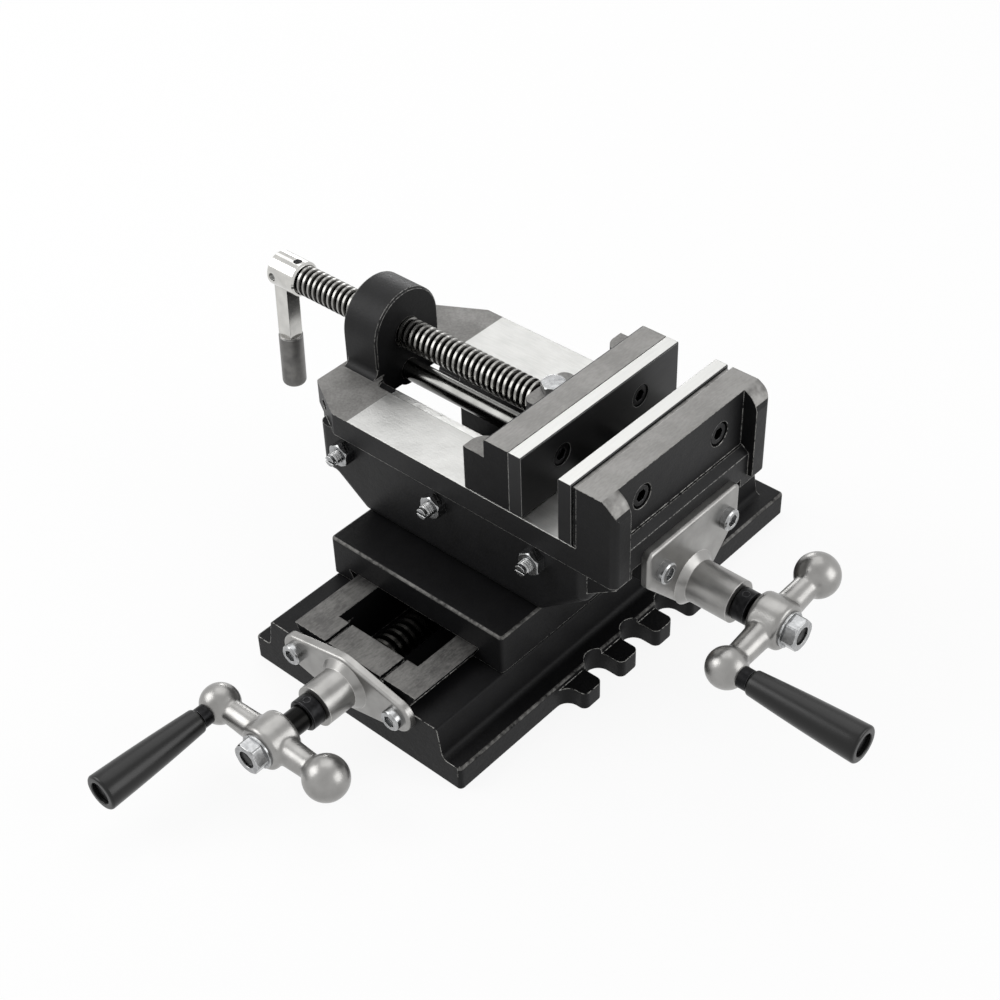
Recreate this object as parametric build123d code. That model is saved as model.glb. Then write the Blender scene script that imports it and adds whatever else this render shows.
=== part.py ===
from build123d import *
import math
import os

# Cross slide vise of the 100 mm class. X runs along the clamping axis towards the fixed jaw, Y along the base
# away from the front crank, Z up. The origin is the middle of the underside of the base. Lengths are in
# millimetres, angles in degrees.

# Clearances, and how far a cut runs past the face that it opens or one joined form reaches into another
slide_gap = 0.3
running_gap = 0.1
seat_gap = 0.05
shoulder_gap = 0.3
lead_clearance = 1.0
overcut = 1.0

# Base casting
base_length = 226.0
base_width = 121.0
base_corner = 2.0
flange_thickness = 12.0
platform_height = 27.5
side_ledge = 12.0
side_slope = 2.5
back_ledge = 9.0
front_ledge = 2.5
platform_corner = 4.0
foot_radius = 3.0
cast_edge = 1.5
rail_height = 6.5
rail_spread = 70.0
rail_angle = 60.0
channel_width = 46.0
channel_floor = 9.0
channel_corner = 8.0
front_wall = 14.2
bridge_half = 16.0
bridge_groove = 2.0
lug_count = 4
lug_pitch = 24.5
lug_width = 11.8
lug_reach = 10.5
lug_thickness = 9.0
lug_row_centre = -4.0
lug_corner = 3.0
lug_blend = 6.0
slot_depth = 14.0
core_depth = 17.0
core_inset = 4.0
core_web = 10.0
core_draft = 2.0

# Saddle casting
saddle_length = 140.0
saddle_right = 48.5
saddle_left = 50.4
saddle_shift = -3.0
saddle_lift = 0.5
deck_height = 48.0
saddle_corner = 2.0
tower_rise = 36.7
tower_spread = 70.0
tower_angle = 60.0
tower_flank = 14.0
tower_channel = 30.0
tower_channel_sink = 2.0

# Vise casting
body_shift = 0.0
body_width = 100.0
skirt_inset = 1.5
slab_thickness = 11.4
slab_back = 86.0
slab_front = 88.0
slab_chamfer_x = 22.0
slab_chamfer_y = 12.5
slab_corner = 2.0
skirt_back = 75.2
skirt_front = 74.0
skirt_foot = 50.0
skirt_slant = 19.0
skirt_step = 8.0
skirt_step_rise = 12.2
skirt_corner = 4.5
skirt_bend = 3.0
rear_skirt_drop = 8.0
jaw_channel = 38.5
jaw_rebate = 4.4
jaw_rebate_depth = 1.2
jaw_rebate_setback = 2.0
jaw_channel_corner = 4.0
end_wall = 10.0
end_wall_inset = 1.5
gusset_gap = 6.0
gusset_width = 10.0
gusset_drop = 15.0
gusset_root = 2.0
gusset_lip = 4.0
boss_length = 20.0
boss_width = 39.0
boss_crown = 1.5
boss_edge = 0.8
boss_foot = 4.0
rib_width = 9.5
rib_reach = 2.5
rib_corner = 3.0
rib_crown_drop = 12.2
rib_bulge_rise = 8.3
rib_bulge_setback = 1.9
jaw_root = 15.0
jaw_ledge_rise = 3.0
jaw_relief_depth = 1.2
jaw_relief_width = 2.4

# Jaws
jaw_rise = 30.6
plate_thickness = 6.5
plate_edge = 0.4
jaw_opening = 18.7
fixed_face = 62.1
jaw_thickness = 13.0
tongue_drop = 9.9
lug_back = 11.0
jaw_lug_width = 12.0
jaw_lug_drop = 9.0
jaw_lug_corner = 7.0
jaw_boss_width = 26.0
jaw_boss_drop = 8.0
jaw_boss_back = 12.0
jaw_boss_corner = 4.0
tongue_corner = 3.0
plate_screw_spread = 50.0
plate_screw_radius = 3.0
plate_screw_lift = 1.8
plate_screw_grip = 12.0
plate_screw_head = 4.0
plate_sink_depth = 4.5
plate_wall = 1.5
fixed_sink_radius = 5.6
fixed_sink_depth = 6.5
fixed_screw_head = 6.0

# Clamp screw, guide rod and folding handle
clamp_rise = 14.3
clamp_radius = 7.0
journal_radius = 5.5
journal_length = 12.0
groove_radius = 3.9
groove_width = 6.6
bolt_radius = 3.0
bolt_across_flats = 10.0
bolt_head = 4.0
guide_radius = 5.0
guide_drop = 5.5
guide_pad = 8.0
guide_front = 80.0
guide_edge = 0.8
rod_screw_radius = 2.5
rod_screw_length = 14.0
clamp_back = 130.0
head_length = 17.5
head_radius = 8.4
head_edge = 1.0
head_socket = 7.0
head_pin_radius = 2.0
head_pin_setback = 4.0
handle_thickness = 7.6
handle_width = 8.0
handle_lean = 2.5
handle_bar_length = 36.2
handle_eye = 4.5
pivot_setback = 13.5
pivot_radius = 2.0
pivot_inset = 1.6
sleeve_radius = 5.8
sleeve_length = 28.7
sleeve_socket = 15.0
sleeve_corner = 2.0
sleeve_edge = 0.6
stem_radius = 3.0

# Lead screws and their nuts
lead_radius = 7.0
lead_chamfer = 1.5
axle_radius = 5.5
square_size = 8.0
end_radius = 4.0
end_chamfer = 0.8
cross_axis_drop = 2.5
cross_reach = 60.0
long_axis_rise = 10.5
long_reach = 40.0
cross_nut_width = 36.0
cross_nut_length = 30.0
cross_nut_height = 20.0
cross_nut_edge = 2.0
cross_nut_screw_spread = 25.0
cross_nut_screw_grip = 9.0
long_nut_length = 28.0
long_nut_rise = 12.0
long_nut_place = 32.0
cross_nut_screw_radius = 2.5
long_nut_screw_radius = 2.0
long_nut_screw_end = 5.0
long_nut_screw_side = 4.0
long_nut_screw_grip = 7.0
long_nut_screw_head = 4.0

# Brackets
bracket_plate = 4.0
bracket_edge = 1.5
barrel_radius = 9.5
barrel_flare_rise = 3.0
cross_barrel = 17.0
long_barrel = 23.0
cross_ear_spread = 58.0
cross_ear_radius = 7.8
cross_plate_radius = 13.9
long_plate_radius = 12.0
long_ear_spread = 42.0
long_plate_width = 60.0
long_plate_top = 31.5
long_plate_side = 12.5
long_plate_corner = 3.0
long_ear_rise = 18.5
bracket_screw_radius = 3.0
bracket_screw_length = 14.0
bracket_screw_head = 3.6
bracket_screw_head_radius = 4.8

# Cranks
collar_radius = 7.2
collar_length = 7.0
collar_edge = 0.6
cross_neck = 9.0
long_neck = 2.0
collar_pin_radius = 1.5
hub_radius = 10.5
hub_length = 15.0
hub_edge = 2.0
arm_length = 31.0
arm_root = 6.4
arm_tip = 5.2
handle_ball = 8.9
counter_ball = 9.9
long_crank_tilt = 5.0
washer_radius = 8.0
washer_thickness = 1.0
nut_across_flats = 13.0
nut_thickness = 5.5
nut_recess = 0.8
spindle_radius = 3.0
spindle_flange = 4.6
ball_flat = 7.5
neck_length = 4.2
grip_length = 51.0
grip_root = 5.5
grip_end = 8.3
grip_recess = 5.0
grip_recess_gap = 0.5
grip_root_edge = 0.8
grip_end_edge = 1.5
spindle_head = 4.5
spindle_head_length = 3.0

# Gibs
gib_thickness = 4.0
gib_end_gap = 2.0
gib_screw_radius = 2.0
long_gib_screw_radius = 3.0
gib_dimple = 1.0
gib_screw_pitch = 54.0
cross_gib_screw_pitch = 48.6
long_gib_place = -5.0
gib_nut_thickness = 3.2
long_gib_nut_thickness = 5.0
gib_screw_stand = 3.0
long_gib_screw_stand = 5.0
gib_nut_across_flats = 7.0
long_gib_nut_across_flats = 10.0

# Proportions of screws and nuts, as shares of the screw's radius, the head's height or the size across flats
cap_head_share = 1.7
cap_edge_share = 0.2
cap_socket_share = 1.7
cap_socket_floor = 0.4
slot_width_share = 0.4
slot_depth_share = 0.6
set_edge_share = 0.2
nut_crown_share = 0.56
nut_edge_share = 0.05

# How close two places count as the same
tolerance = 0.01

# Holes that follow from the sizes above
lead_hole = lead_radius + lead_clearance
axle_hole = axle_radius + running_gap
plate_screw_hole = plate_screw_radius + seat_gap
bracket_screw_hole = bracket_screw_radius + running_gap
bracket_screw_thread = bracket_screw_radius + seat_gap

# Places that follow from the sizes above
rail_top = platform_height + rail_height
platform_half = base_width / 2 - side_ledge
platform_back = base_length / 2 - back_ledge
base_front = -base_length / 2
rail_front = base_front + front_ledge
channel_front = rail_front + front_wall
rail_undercut = rail_height / math.tan(math.radians(rail_angle))
cross_axis_z = platform_height - cross_axis_drop
saddle_foot = platform_height + saddle_lift
saddle_roof = rail_top + slide_gap
tower_top = deck_height + tower_rise
tower_neck_z = tower_top - tower_flank
tower_neck = tower_spread / 2 - tower_flank / math.tan(math.radians(tower_angle))
tower_floor = deck_height - tower_channel_sink
long_axis_z = deck_height + long_axis_rise
long_ear_z = long_axis_z + long_ear_rise
slab_bottom = tower_top + slide_gap
slab_top = slab_bottom + slab_thickness
skirt_bottom = deck_height + slide_gap
skirt_outer = body_width / 2 - skirt_inset
fixed_root = fixed_face + plate_thickness
fixed_screw_seat = fixed_root + jaw_root - fixed_sink_depth
jaw_face = fixed_face - jaw_opening
jaw_front = jaw_face - plate_thickness
jaw_back = jaw_front - jaw_thickness
jaw_top = slab_top + jaw_rise
jaw_bottom = slab_top + slide_gap
clamp_z = slab_top + clamp_rise
boss_face = boss_length - slab_back
guide_z = slab_top - guide_drop
plate_screw_z = (jaw_bottom + jaw_top) / 2 + plate_screw_lift
boss_rear = jaw_back - jaw_boss_back
bolt_x = jaw_back - jaw_boss_back / 2
bolt_seat = jaw_top - jaw_boss_drop
head_end = -clamp_back - head_length
pivot_x = -clamp_back - pivot_setback
sine = math.sin(math.radians(tower_angle))
rebate_start = boss_face + jaw_rebate_setback
rod_screw_x = boss_face - boss_length / 2
rib_back = slab_front + rib_reach
wall_front = slab_front - end_wall


def block(x0, x1, y0, y1, z0, z1):
    """A box between two corners."""
    centre = Pos((x0 + x1) / 2, (y0 + y1) / 2, (z0 + z1) / 2)
    return centre * Box(abs(x1 - x0), abs(y1 - y0), abs(z1 - z0))


def polygon(points):
    """A flat face with straight sides."""
    return make_face(Polyline(*points, close=True))


def along_x(face, x0, x1):
    """A face drawn in Y and Z, drawn out from x0 to x1."""
    return extrude(Plane(origin=(x0, 0, 0), x_dir=(0, 1, 0), z_dir=(1, 0, 0)) * face, x1 - x0)


def along_y(face, y0, y1):
    """A face drawn in X and Z, drawn out from y0 to y1."""
    return extrude(Plane(origin=(0, y1, 0), x_dir=(1, 0, 0), z_dir=(0, -1, 0)) * face, y1 - y0)


def along_z(face, z0, z1):
    """A face drawn in X and Y, drawn out from z0 to z1."""
    return extrude(Pos(0, 0, z0) * face, z1 - z0)


def bar_x(radius, x0, x1, y, z):
    """A round bar along X."""
    return along_x(Pos(y, z) * Circle(radius), x0, x1)


def bar_y(radius, y0, y1, x, z):
    """A round bar along Y."""
    return along_y(Pos(x, z) * Circle(radius), y0, y1)


def bar_z(radius, z0, z1, x, y):
    """A round bar along Z."""
    return along_z(Pos(x, y) * Circle(radius), z0, z1)


def hexagon(across_flats):
    """A hexagon with its flats across the given size."""
    return RegularPolygon(across_flats / math.sqrt(3), 6, rotation=30)


def round_corners(face, radius, chosen):
    """Rounds the corners of a flat face that pass the test."""
    return fillet([corner for corner in face.vertices() if chosen(corner)], radius)


def mirror_x(shape):
    return mirror(shape, Plane.YZ)


def mirror_y(shape):
    return mirror(shape, Plane.XZ)


def cap_screw(radius, length, head_rise, head_radius):
    """A socket screw pointing along -Z with the underside of its head at the origin."""
    shank = along_z(Circle(radius), -length, 0)
    head = along_z(Circle(head_radius), 0, head_rise)
    head = chamfer(head.edges().group_by(Axis.Z)[-1], radius * cap_edge_share)
    socket = along_z(hexagon(radius * cap_socket_share), head_rise * cap_socket_floor, head_rise)
    return shank + head - socket


def hex_head(across_flats, thickness):
    """A hexagon along Z from the origin, with the corners of its outer face taken off."""
    body = along_z(hexagon(across_flats), 0, thickness)
    crown = along_z(Circle(across_flats * nut_crown_share), 0, thickness)
    return body & chamfer(crown.edges().group_by(Axis.Z)[-1], across_flats * nut_edge_share)


def hex_nut(radius, across_flats, thickness):
    """A nut along Z from the origin."""
    return hex_head(across_flats, thickness) - along_z(Circle(radius), 0, thickness)


def set_screw(radius, length):
    """A slotted headless screw along Z, with its tip at the origin."""
    body = along_z(Circle(radius), 0, length)
    body = chamfer(body.edges().group_by(Axis.Z)[-1], radius * set_edge_share)
    slot_half = radius * slot_width_share / 2
    slot = block(-radius, radius, -slot_half, slot_half, length - radius * slot_depth_share, length)
    return body - slot


# Turn a piece drawn along +Z so that it points along another axis.
to_minus_y = Rot(90, 0, 0)
to_plus_x = Rot(0, 90, 0)
to_minus_x = Rot(0, -90, 0)


# Base casting

def lug_places():
    """Y places of the lugs along one side."""
    first = lug_row_centre - (lug_count - 1) * lug_pitch / 2
    return [first + index * lug_pitch for index in range(lug_count)]


def slot_places():
    """Y places of the open slots between the lugs."""
    return [place + lug_pitch / 2 for place in lug_places()[:-1]]


def lug_row():
    """The lugs on the +X side, with the slots between them and a hollow corner at each end of the row."""
    edge = base_width / 2
    tip = edge + lug_reach
    root = edge - slot_depth - side_ledge / 2
    places = lug_places()
    low = places[0] - lug_width / 2
    high = places[-1] + lug_width / 2
    outline = Pos((root + tip) / 2, (low + high) / 2) * Rectangle(tip - root, high - low)
    outline = round_corners(outline, lug_corner, lambda corner: corner.X > edge)
    row = along_z(outline, 0, lug_thickness)
    for place, side in ((low, -1), (high, 1)):
        corner = block(edge - cast_edge, edge + lug_blend, place, place + side * lug_blend, 0, lug_thickness)
        round_part = bar_z(lug_blend, 0, lug_thickness, edge + lug_blend, place + side * lug_blend)
        row += corner - round_part
    return row


def slot_cuts():
    """The open slots on the +X side, each with a round inner end."""
    edge = base_width / 2
    tip = edge + lug_reach
    width = lug_pitch - lug_width
    cuts = []
    for place in slot_places():
        end = tip - slot_depth + width / 2
        outline = Pos((end + tip) / 2 + cast_edge, place) * Rectangle(tip - end + 2 * cast_edge, width)
        outline += Pos(end, place) * Circle(width / 2)
        lips = Pos(tip, place) * Rectangle(2 * lug_corner, width + 2 * lug_corner)
        for side in (-1, 1):
            lips -= Pos(tip - lug_corner, place + side * (width / 2 + lug_corner)) * Circle(lug_corner)
        cuts.append(along_z(outline + lips, -overcut, flange_thickness + overcut))
    return cuts


def rail_face():
    """Section of the +X rail of the base, undercut on its outer side."""
    outer = rail_spread / 2
    inner = channel_width / 2
    foot = platform_height - overcut
    slope = rail_undercut / rail_height
    return polygon([
        (inner, foot),
        (outer - rail_undercut - slope * overcut, foot),
        (outer, rail_top),
        (inner, rail_top),
    ])


def base_core():
    """Hollows under the platform, one pair on each side of the channel, narrower towards their roof."""
    inner = channel_width / 2 + core_inset
    outer = platform_half - core_inset
    near = channel_front + core_inset
    far = platform_back - core_inset
    middle = (near + far) / 2
    hollows = []
    for low, high in ((near, middle - core_web / 2), (middle + core_web / 2, far)):
        outline = Pos((inner + outer) / 2, (low + high) / 2)
        outline *= RectangleRounded(outer - inner, high - low, core_inset)
        hollow = extrude(outline, core_depth, taper=core_draft)
        hollows += [hollow, mirror_x(hollow)]
    return hollows


def base_casting():
    half = base_width / 2
    flange = extrude(RectangleRounded(base_width, base_length, base_corner), flange_thickness)
    flange = fillet(flange.edges().group_by(Axis.Z)[-1], cast_edge)
    section = polygon([
        (-half + cast_edge, flange_thickness / 2),
        (half - cast_edge, flange_thickness / 2),
        (half - cast_edge, flange_thickness),
        (platform_half + side_slope, flange_thickness),
        (platform_half, platform_height),
        (-platform_half, platform_height),
        (-platform_half - side_slope, flange_thickness),
        (-half + cast_edge, flange_thickness),
    ])
    at_foot = lambda corner: abs(abs(corner.X) - platform_half - side_slope) < tolerance
    at_top = lambda corner: corner.Y > platform_height - tolerance
    section = round_corners(section, foot_radius, at_foot)
    section = round_corners(section, cast_edge, at_top)
    trim = Pos(0, (platform_back + base_front) / 2) * Rectangle(base_width, platform_back - base_front)
    trim = along_z(round_corners(trim, platform_corner, lambda corner: corner.Y > 0), 0, platform_height)
    casting = flange + (along_y(section, base_front, platform_back) & trim)
    rail = along_y(rail_face(), rail_front, platform_back - platform_corner)
    casting += rail
    casting += mirror_x(rail)
    half_bridge = channel_width / 2
    casting += block(-half_bridge, half_bridge, rail_front, channel_front, platform_height - overcut, rail_top)
    trench_end = platform_back + back_ledge + overcut
    trench = Pos(0, (channel_front + trench_end) / 2) * Rectangle(channel_width, trench_end - channel_front)
    trench = round_corners(trench, channel_corner, lambda corner: corner.Y < 0)
    casting -= along_z(trench, channel_floor, rail_top + overcut)
    for side in (-1, 1):
        groove = Pos(side * bridge_half, 0) * Rectangle(bridge_groove, 2 * bridge_groove)
        casting -= Pos(0, 0, rail_top) * along_y(groove, rail_front - overcut, channel_front)
    row = lug_row()
    casting += row
    casting += mirror_x(row)
    for cut in slot_cuts():
        casting -= cut
        casting -= mirror_x(cut)
    for hollow in base_core():
        casting -= hollow
    casting -= bar_y(lead_hole, base_front - overcut, channel_front + overcut, 0, cross_axis_z)
    hole_end = base_front + bracket_screw_length - bracket_plate + overcut
    for x in cross_ear_places():
        casting -= bar_y(bracket_screw_thread, base_front - overcut, hole_end, x, cross_axis_z)
    return casting


# Saddle casting, drawn about its own middle in Y

def cross_slot():
    """The dovetail slot under the saddle, wider on the -X side by the gib."""
    slope = rail_undercut / rail_height
    grow = slide_gap / math.sin(math.radians(rail_angle))
    room = (slide_gap + gib_thickness + seat_gap) / math.sin(math.radians(rail_angle))
    low = saddle_foot - overcut
    foot = rail_spread / 2 - slope * (rail_top - low)
    crest = rail_spread / 2 + slope * slide_gap
    return polygon([
        (foot + grow, low),
        (crest + grow, saddle_roof),
        (-crest - room, saddle_roof),
        (-foot - room, low),
    ])


def tower_face():
    """Section of the raised slide on the saddle, undercut on both sides."""
    outer = tower_spread / 2
    root = deck_height - overcut
    return polygon([
        (-tower_neck, root),
        (tower_neck, root),
        (tower_neck, tower_neck_z),
        (outer, tower_top),
        (-outer, tower_top),
        (-tower_neck, tower_neck_z),
    ])


def tower_channel_face():
    """Section of the channel for the screw in the middle of the raised slide."""
    height = tower_top + overcut - tower_floor
    channel = Pos(0, tower_floor + height / 2) * Rectangle(tower_channel, height)
    return round_corners(channel, foot_radius, lambda corner: corner.Y < tower_top)


def saddle_casting():
    outline = Pos((saddle_right - saddle_left) / 2, 0)
    outline *= RectangleRounded(saddle_left + saddle_right, saddle_length, saddle_corner)
    deck = along_z(outline, saddle_foot, deck_height)
    deck = fillet(deck.edges().group_by(Axis.Z)[-1], cast_edge)
    casting = deck + along_x(tower_face(), -saddle_left, saddle_right)
    casting -= along_x(tower_channel_face(), -saddle_left - overcut, saddle_right + overcut)
    casting -= along_y(cross_slot(), -saddle_length / 2 - overcut, saddle_length / 2 + overcut)
    opening = tower_floor + overcut
    shank_hole = cross_nut_screw_radius + running_gap
    head_hole = cap_head_share * cross_nut_screw_radius + running_gap
    for x in cross_nut_screw_places():
        casting -= bar_z(shank_hole, saddle_roof - overcut, opening, x, 0)
        casting -= bar_z(head_hole, cross_nut_screw_seat(), opening, x, 0)
    hole_end = tower_floor - long_nut_screw_grip - overcut
    for x, y in long_nut_screw_places():
        casting -= bar_z(long_nut_screw_radius + seat_gap, hole_end, opening, x, y)
    gib_screw_hole = gib_screw_radius + seat_gap
    for y in cross_gib_places():
        casting -= bar_x(gib_screw_hole, -saddle_left - overcut, -rail_spread / 2, y, cross_gib_z())
    return casting


def place_saddle(shape):
    return Pos(0, saddle_shift, 0) * shape


def cross_gib_z():
    """Height of the screws that press the gib under the saddle."""
    return rail_top - gib_screw_radius - slide_gap


def cross_gib_places():
    return [-cross_gib_screw_pitch, 0, cross_gib_screw_pitch]


def gib_face(half, top, low, angle):
    """Section of a gib strip beside a dovetail flank on the negative side."""
    slope = 1 / math.tan(math.radians(angle))
    near = slide_gap / math.sin(math.radians(angle))
    far = near + gib_thickness / math.sin(math.radians(angle))
    foot = half - slope * (top - low)
    return polygon([(-foot - near, low), (-half - near, top), (-half - far, top), (-foot - far, low)])


def gib_back(half, top, angle, z):
    """How far out the back of a gib lies at a height."""
    slope = 1 / math.tan(math.radians(angle))
    return half - slope * (top - z) + (slide_gap + gib_thickness) / math.sin(math.radians(angle))


def cross_gib():
    low = saddle_foot + slide_gap
    strip = along_y(gib_face(rail_spread / 2, rail_top, low, rail_angle), gib_end_gap - saddle_length / 2,
                    saddle_length / 2 - gib_end_gap)
    dimple = gib_screw_radius + running_gap
    for y in cross_gib_places():
        strip -= bar_x(dimple, -cross_gib_tip() - gib_thickness, -cross_gib_tip(), y, cross_gib_z())
    return strip


def cross_gib_tip():
    return gib_back(rail_spread / 2, rail_top, rail_angle, cross_gib_z()) - gib_dimple


def cross_gib_screws():
    length = saddle_left + gib_nut_thickness + gib_screw_stand - cross_gib_tip()
    screw = to_minus_x * set_screw(gib_screw_radius, length)
    return [Pos(-cross_gib_tip(), y, cross_gib_z()) * screw for y in cross_gib_places()]


def cross_gib_nuts():
    nut = to_minus_x * hex_nut(gib_screw_radius + seat_gap, gib_nut_across_flats, gib_nut_thickness)
    return [Pos(-saddle_left, y, cross_gib_z()) * nut for y in cross_gib_places()]


def cross_nut():
    """Bronze nut hung under the saddle round the cross lead screw."""
    low = saddle_roof - cross_nut_height
    shape = Box(cross_nut_width, cross_nut_length, cross_nut_height)
    shape = Pos(0, 0, (low + saddle_roof) / 2) * chamfer(shape.edges().filter_by(Axis.Y), cross_nut_edge)
    shape -= bar_y(lead_radius + running_gap, -cross_nut_length, cross_nut_length, 0, cross_axis_z)
    hole_end = saddle_roof - cross_nut_screw_grip - overcut
    for x in cross_nut_screw_places():
        shape -= bar_z(cross_nut_screw_radius + seat_gap, hole_end, saddle_roof + overcut, x, 0)
    return shape


def cross_nut_screw_places():
    return (-cross_nut_screw_spread / 2, cross_nut_screw_spread / 2)


def cross_nut_screw_seat():
    """Height at which the heads of the screws of the cross nut sit, just below the floor of the channel."""
    return tower_floor - 2 * cross_nut_screw_radius - running_gap


def cross_nut_screws():
    radius = cross_nut_screw_radius
    seat = cross_nut_screw_seat()
    screw = cap_screw(radius, seat - saddle_roof + cross_nut_screw_grip, 2 * radius, cap_head_share * radius)
    return [Pos(x, 0, seat) * screw for x in cross_nut_screw_places()]


def long_nut_screw_places():
    reach_x = long_nut_length / 2 - long_nut_screw_end
    reach_y = tower_channel / 2 - long_nut_screw_side
    return [(long_nut_place - reach_x, -reach_y), (long_nut_place + reach_x, reach_y)]


def long_nut_top():
    return long_axis_z + long_nut_rise


def long_nut():
    """Bronze nut block that stands in the channel of the saddle round the long lead screw."""
    width = tower_channel - 2 * slide_gap
    height = long_nut_top() - tower_floor
    shape = Box(long_nut_length, width, height)
    shape = chamfer(shape.edges().filter_by(Axis.X), foot_radius)
    shape = Pos(long_nut_place, 0, tower_floor + height / 2) * shape
    reach = long_nut_length / 2 + overcut
    shape -= bar_x(lead_radius + running_gap, long_nut_place - reach, long_nut_place + reach, 0, long_axis_z)
    for x, y in long_nut_screw_places():
        shape -= bar_z(long_nut_screw_radius + seat_gap, tower_floor - overcut, long_nut_top() + overcut, x, y)
    return shape


def long_nut_screws():
    length = long_nut_top() - tower_floor + long_nut_screw_grip
    head_radius = cap_head_share * long_nut_screw_radius
    screw = cap_screw(long_nut_screw_radius, length, long_nut_screw_head, head_radius)
    return [Pos(x, y, long_nut_top()) * screw for x, y in long_nut_screw_places()]


# Vise casting and its pieces, drawn about the middle of the clamping axis

def place_body(shape):
    return Pos(body_shift, saddle_shift, 0) * shape


def slab():
    """The top plate of the vise body, with its two back corners cut off."""
    half = body_width / 2
    outline = polygon([
        (-slab_back, half - slab_chamfer_y),
        (slab_chamfer_x - slab_back, half),
        (slab_front, half),
        (slab_front, -half),
        (slab_chamfer_x - slab_back, -half),
        (-slab_back, slab_chamfer_y - half),
    ])
    outline = round_corners(outline, slab_corner, lambda corner: True)
    return along_z(outline, slab_bottom, slab_top)


def skirt_face():
    """Side view of the skirts, with both ends slanted up from the saddle."""
    top = slab_bottom + overcut
    knee = skirt_bottom + skirt_slant
    step = skirt_bottom + skirt_step_rise
    face = polygon([
        (-skirt_back, top),
        (-skirt_back, step),
        (skirt_step - skirt_back, step),
        (-skirt_foot, skirt_bottom),
        (skirt_foot, skirt_bottom),
        (skirt_front, knee),
        (skirt_front, top),
    ])
    return round_corners(face, skirt_bend, lambda corner: corner.Y < slab_bottom)


def slide_slot():
    """The dovetail slot under the vise body, wider on the -Y side by the gib."""
    slope = 1 / math.tan(math.radians(tower_angle))
    grow = slide_gap / sine
    room = (slide_gap + gib_thickness + seat_gap) / sine
    crest = tower_spread / 2 + slope * slide_gap
    low = skirt_bottom - overcut
    return polygon([
        (tower_neck + grow, low),
        (tower_neck + grow, tower_neck_z),
        (crest + grow, slab_bottom),
        (-crest - room, slab_bottom),
        (-tower_neck - room, tower_neck_z),
        (-tower_neck - room, low),
    ])


def skirts():
    side = along_y(skirt_face(), -skirt_outer, skirt_outer)
    side = fillet(side.edges().filter_by(Axis.Z).group_by(Axis.X)[-1], skirt_corner)
    side -= along_x(slide_slot(), -skirt_back - overcut, skirt_front + overcut)
    return side + rear_skirts()


def rear_skirts():
    """Short skirts that follow the cut corners at the back, clear of the raised slide."""
    inner = tower_spread / 2 + 4 * slide_gap
    cut_back = body_width / 2 - slab_chamfer_y
    widening = (slab_back - skirt_back) * slab_chamfer_y / slab_chamfer_x
    outline = polygon([
        (overcut - skirt_back, inner),
        (skirt_inset - slab_back, inner),
        (skirt_inset - slab_back, cut_back - skirt_inset / 2),
        (overcut - skirt_back, cut_back + widening - skirt_inset),
    ])
    side = along_z(outline, slab_bottom - rear_skirt_drop, slab_bottom + overcut)
    return side + mirror_y(side)


def screw_boss():
    """The arched block at the back that carries the clamp screw."""
    half = boss_width / 2
    root = slab_top - overcut
    crown = clamp_z + boss_crown
    face = Pos(0, (root + crown) / 2) * Rectangle(boss_width, crown - root) + Pos(0, crown) * Circle(half)
    shape = along_x(face, -slab_back, boss_face)
    rims = shape.edges().filter_by(GeomType.CIRCLE)
    return chamfer(rims, boss_edge) + screw_boss_foot()


def screw_boss_foot():
    """Fillets where the arched block grows out of the top plate."""
    inner = boss_width / 2 - overcut
    outer = boss_width / 2 + boss_foot
    crest = slab_top + boss_foot
    corner = polygon([(inner, slab_top - overcut), (outer, slab_top - overcut), (outer, slab_top),
                      (boss_width / 2, crest), (inner, crest)])
    corner -= Pos(outer, crest) * Circle(boss_foot)
    foot = along_x(corner, slab_corner - slab_back, boss_face)
    return foot + mirror_y(foot)


def jaw_rib():
    """A rib behind one end of the fixed jaw, rounded over at the top, drawn on the +Y side."""
    back = slab_front + rib_reach
    front = fixed_root + jaw_root
    root = front - rib_corner
    crown = jaw_top - rib_crown_drop
    outline = Polyline((root, slab_bottom), (back, slab_bottom), (back, crown))
    bulge = (back - rib_bulge_setback, crown + rib_bulge_rise)
    curve = ThreePointArc((back, crown), bulge, (front, jaw_top))
    closing = Polyline((front, jaw_top), (root, jaw_top), (root, slab_bottom))
    half = body_width / 2
    return along_y(make_face(outline + curve + closing), half - rib_width, half)


def fixed_jaw_block():
    half = body_width / 2
    back = fixed_root + jaw_root
    inner = back - overcut
    root = slab_top - overcut
    crest = slab_top + jaw_ledge_rise
    upright = block(fixed_root, back, -half, half, root, jaw_top)
    toe = (slab_front, slab_top)
    ledge = polygon([(inner, root), (slab_front, root), toe, (back + overcut, crest), (inner, crest)])
    shape = upright + along_y(ledge, -half, half)
    rib = jaw_rib()
    shape = shape + rib + mirror_y(rib)
    plan = Pos(slab_front + rib_reach - body_width / 2, 0) * Rectangle(body_width, body_width)
    plan = round_corners(plan, rib_corner, lambda corner: corner.X > slab_front)
    return shape & along_z(plan, 0, jaw_top)


def jaw_relief():
    """A shallow step round the back of the fixed jaw plate, at the top and both ends."""
    half = body_width / 2
    near = fixed_root - overcut
    far = fixed_root + jaw_relief_width
    top = block(near, far, -half - overcut, half + overcut, jaw_top - jaw_relief_depth, jaw_top + overcut)
    end = block(near, far, half - jaw_relief_depth, half + overcut, slab_top, jaw_top + overcut)
    return top + end + mirror_y(end)


def end_wall_block():
    """The wall under the fixed jaw that carries the long bracket, tied to the skirts by two gussets."""
    wall = along_x(long_outline(end_wall_inset), slab_front - end_wall, slab_front)
    inner = long_plate_width / 2 + gusset_gap
    outer = inner + gusset_width
    root = skirt_front - gusset_root
    top = slab_bottom + overcut
    gusset = polygon([(root, top), (slab_front, top), (slab_front, slab_bottom - gusset_lip),
                      (root, slab_bottom - gusset_drop)])
    side = along_y(gusset, inner, outer)
    return wall + side + mirror_y(side)


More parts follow.
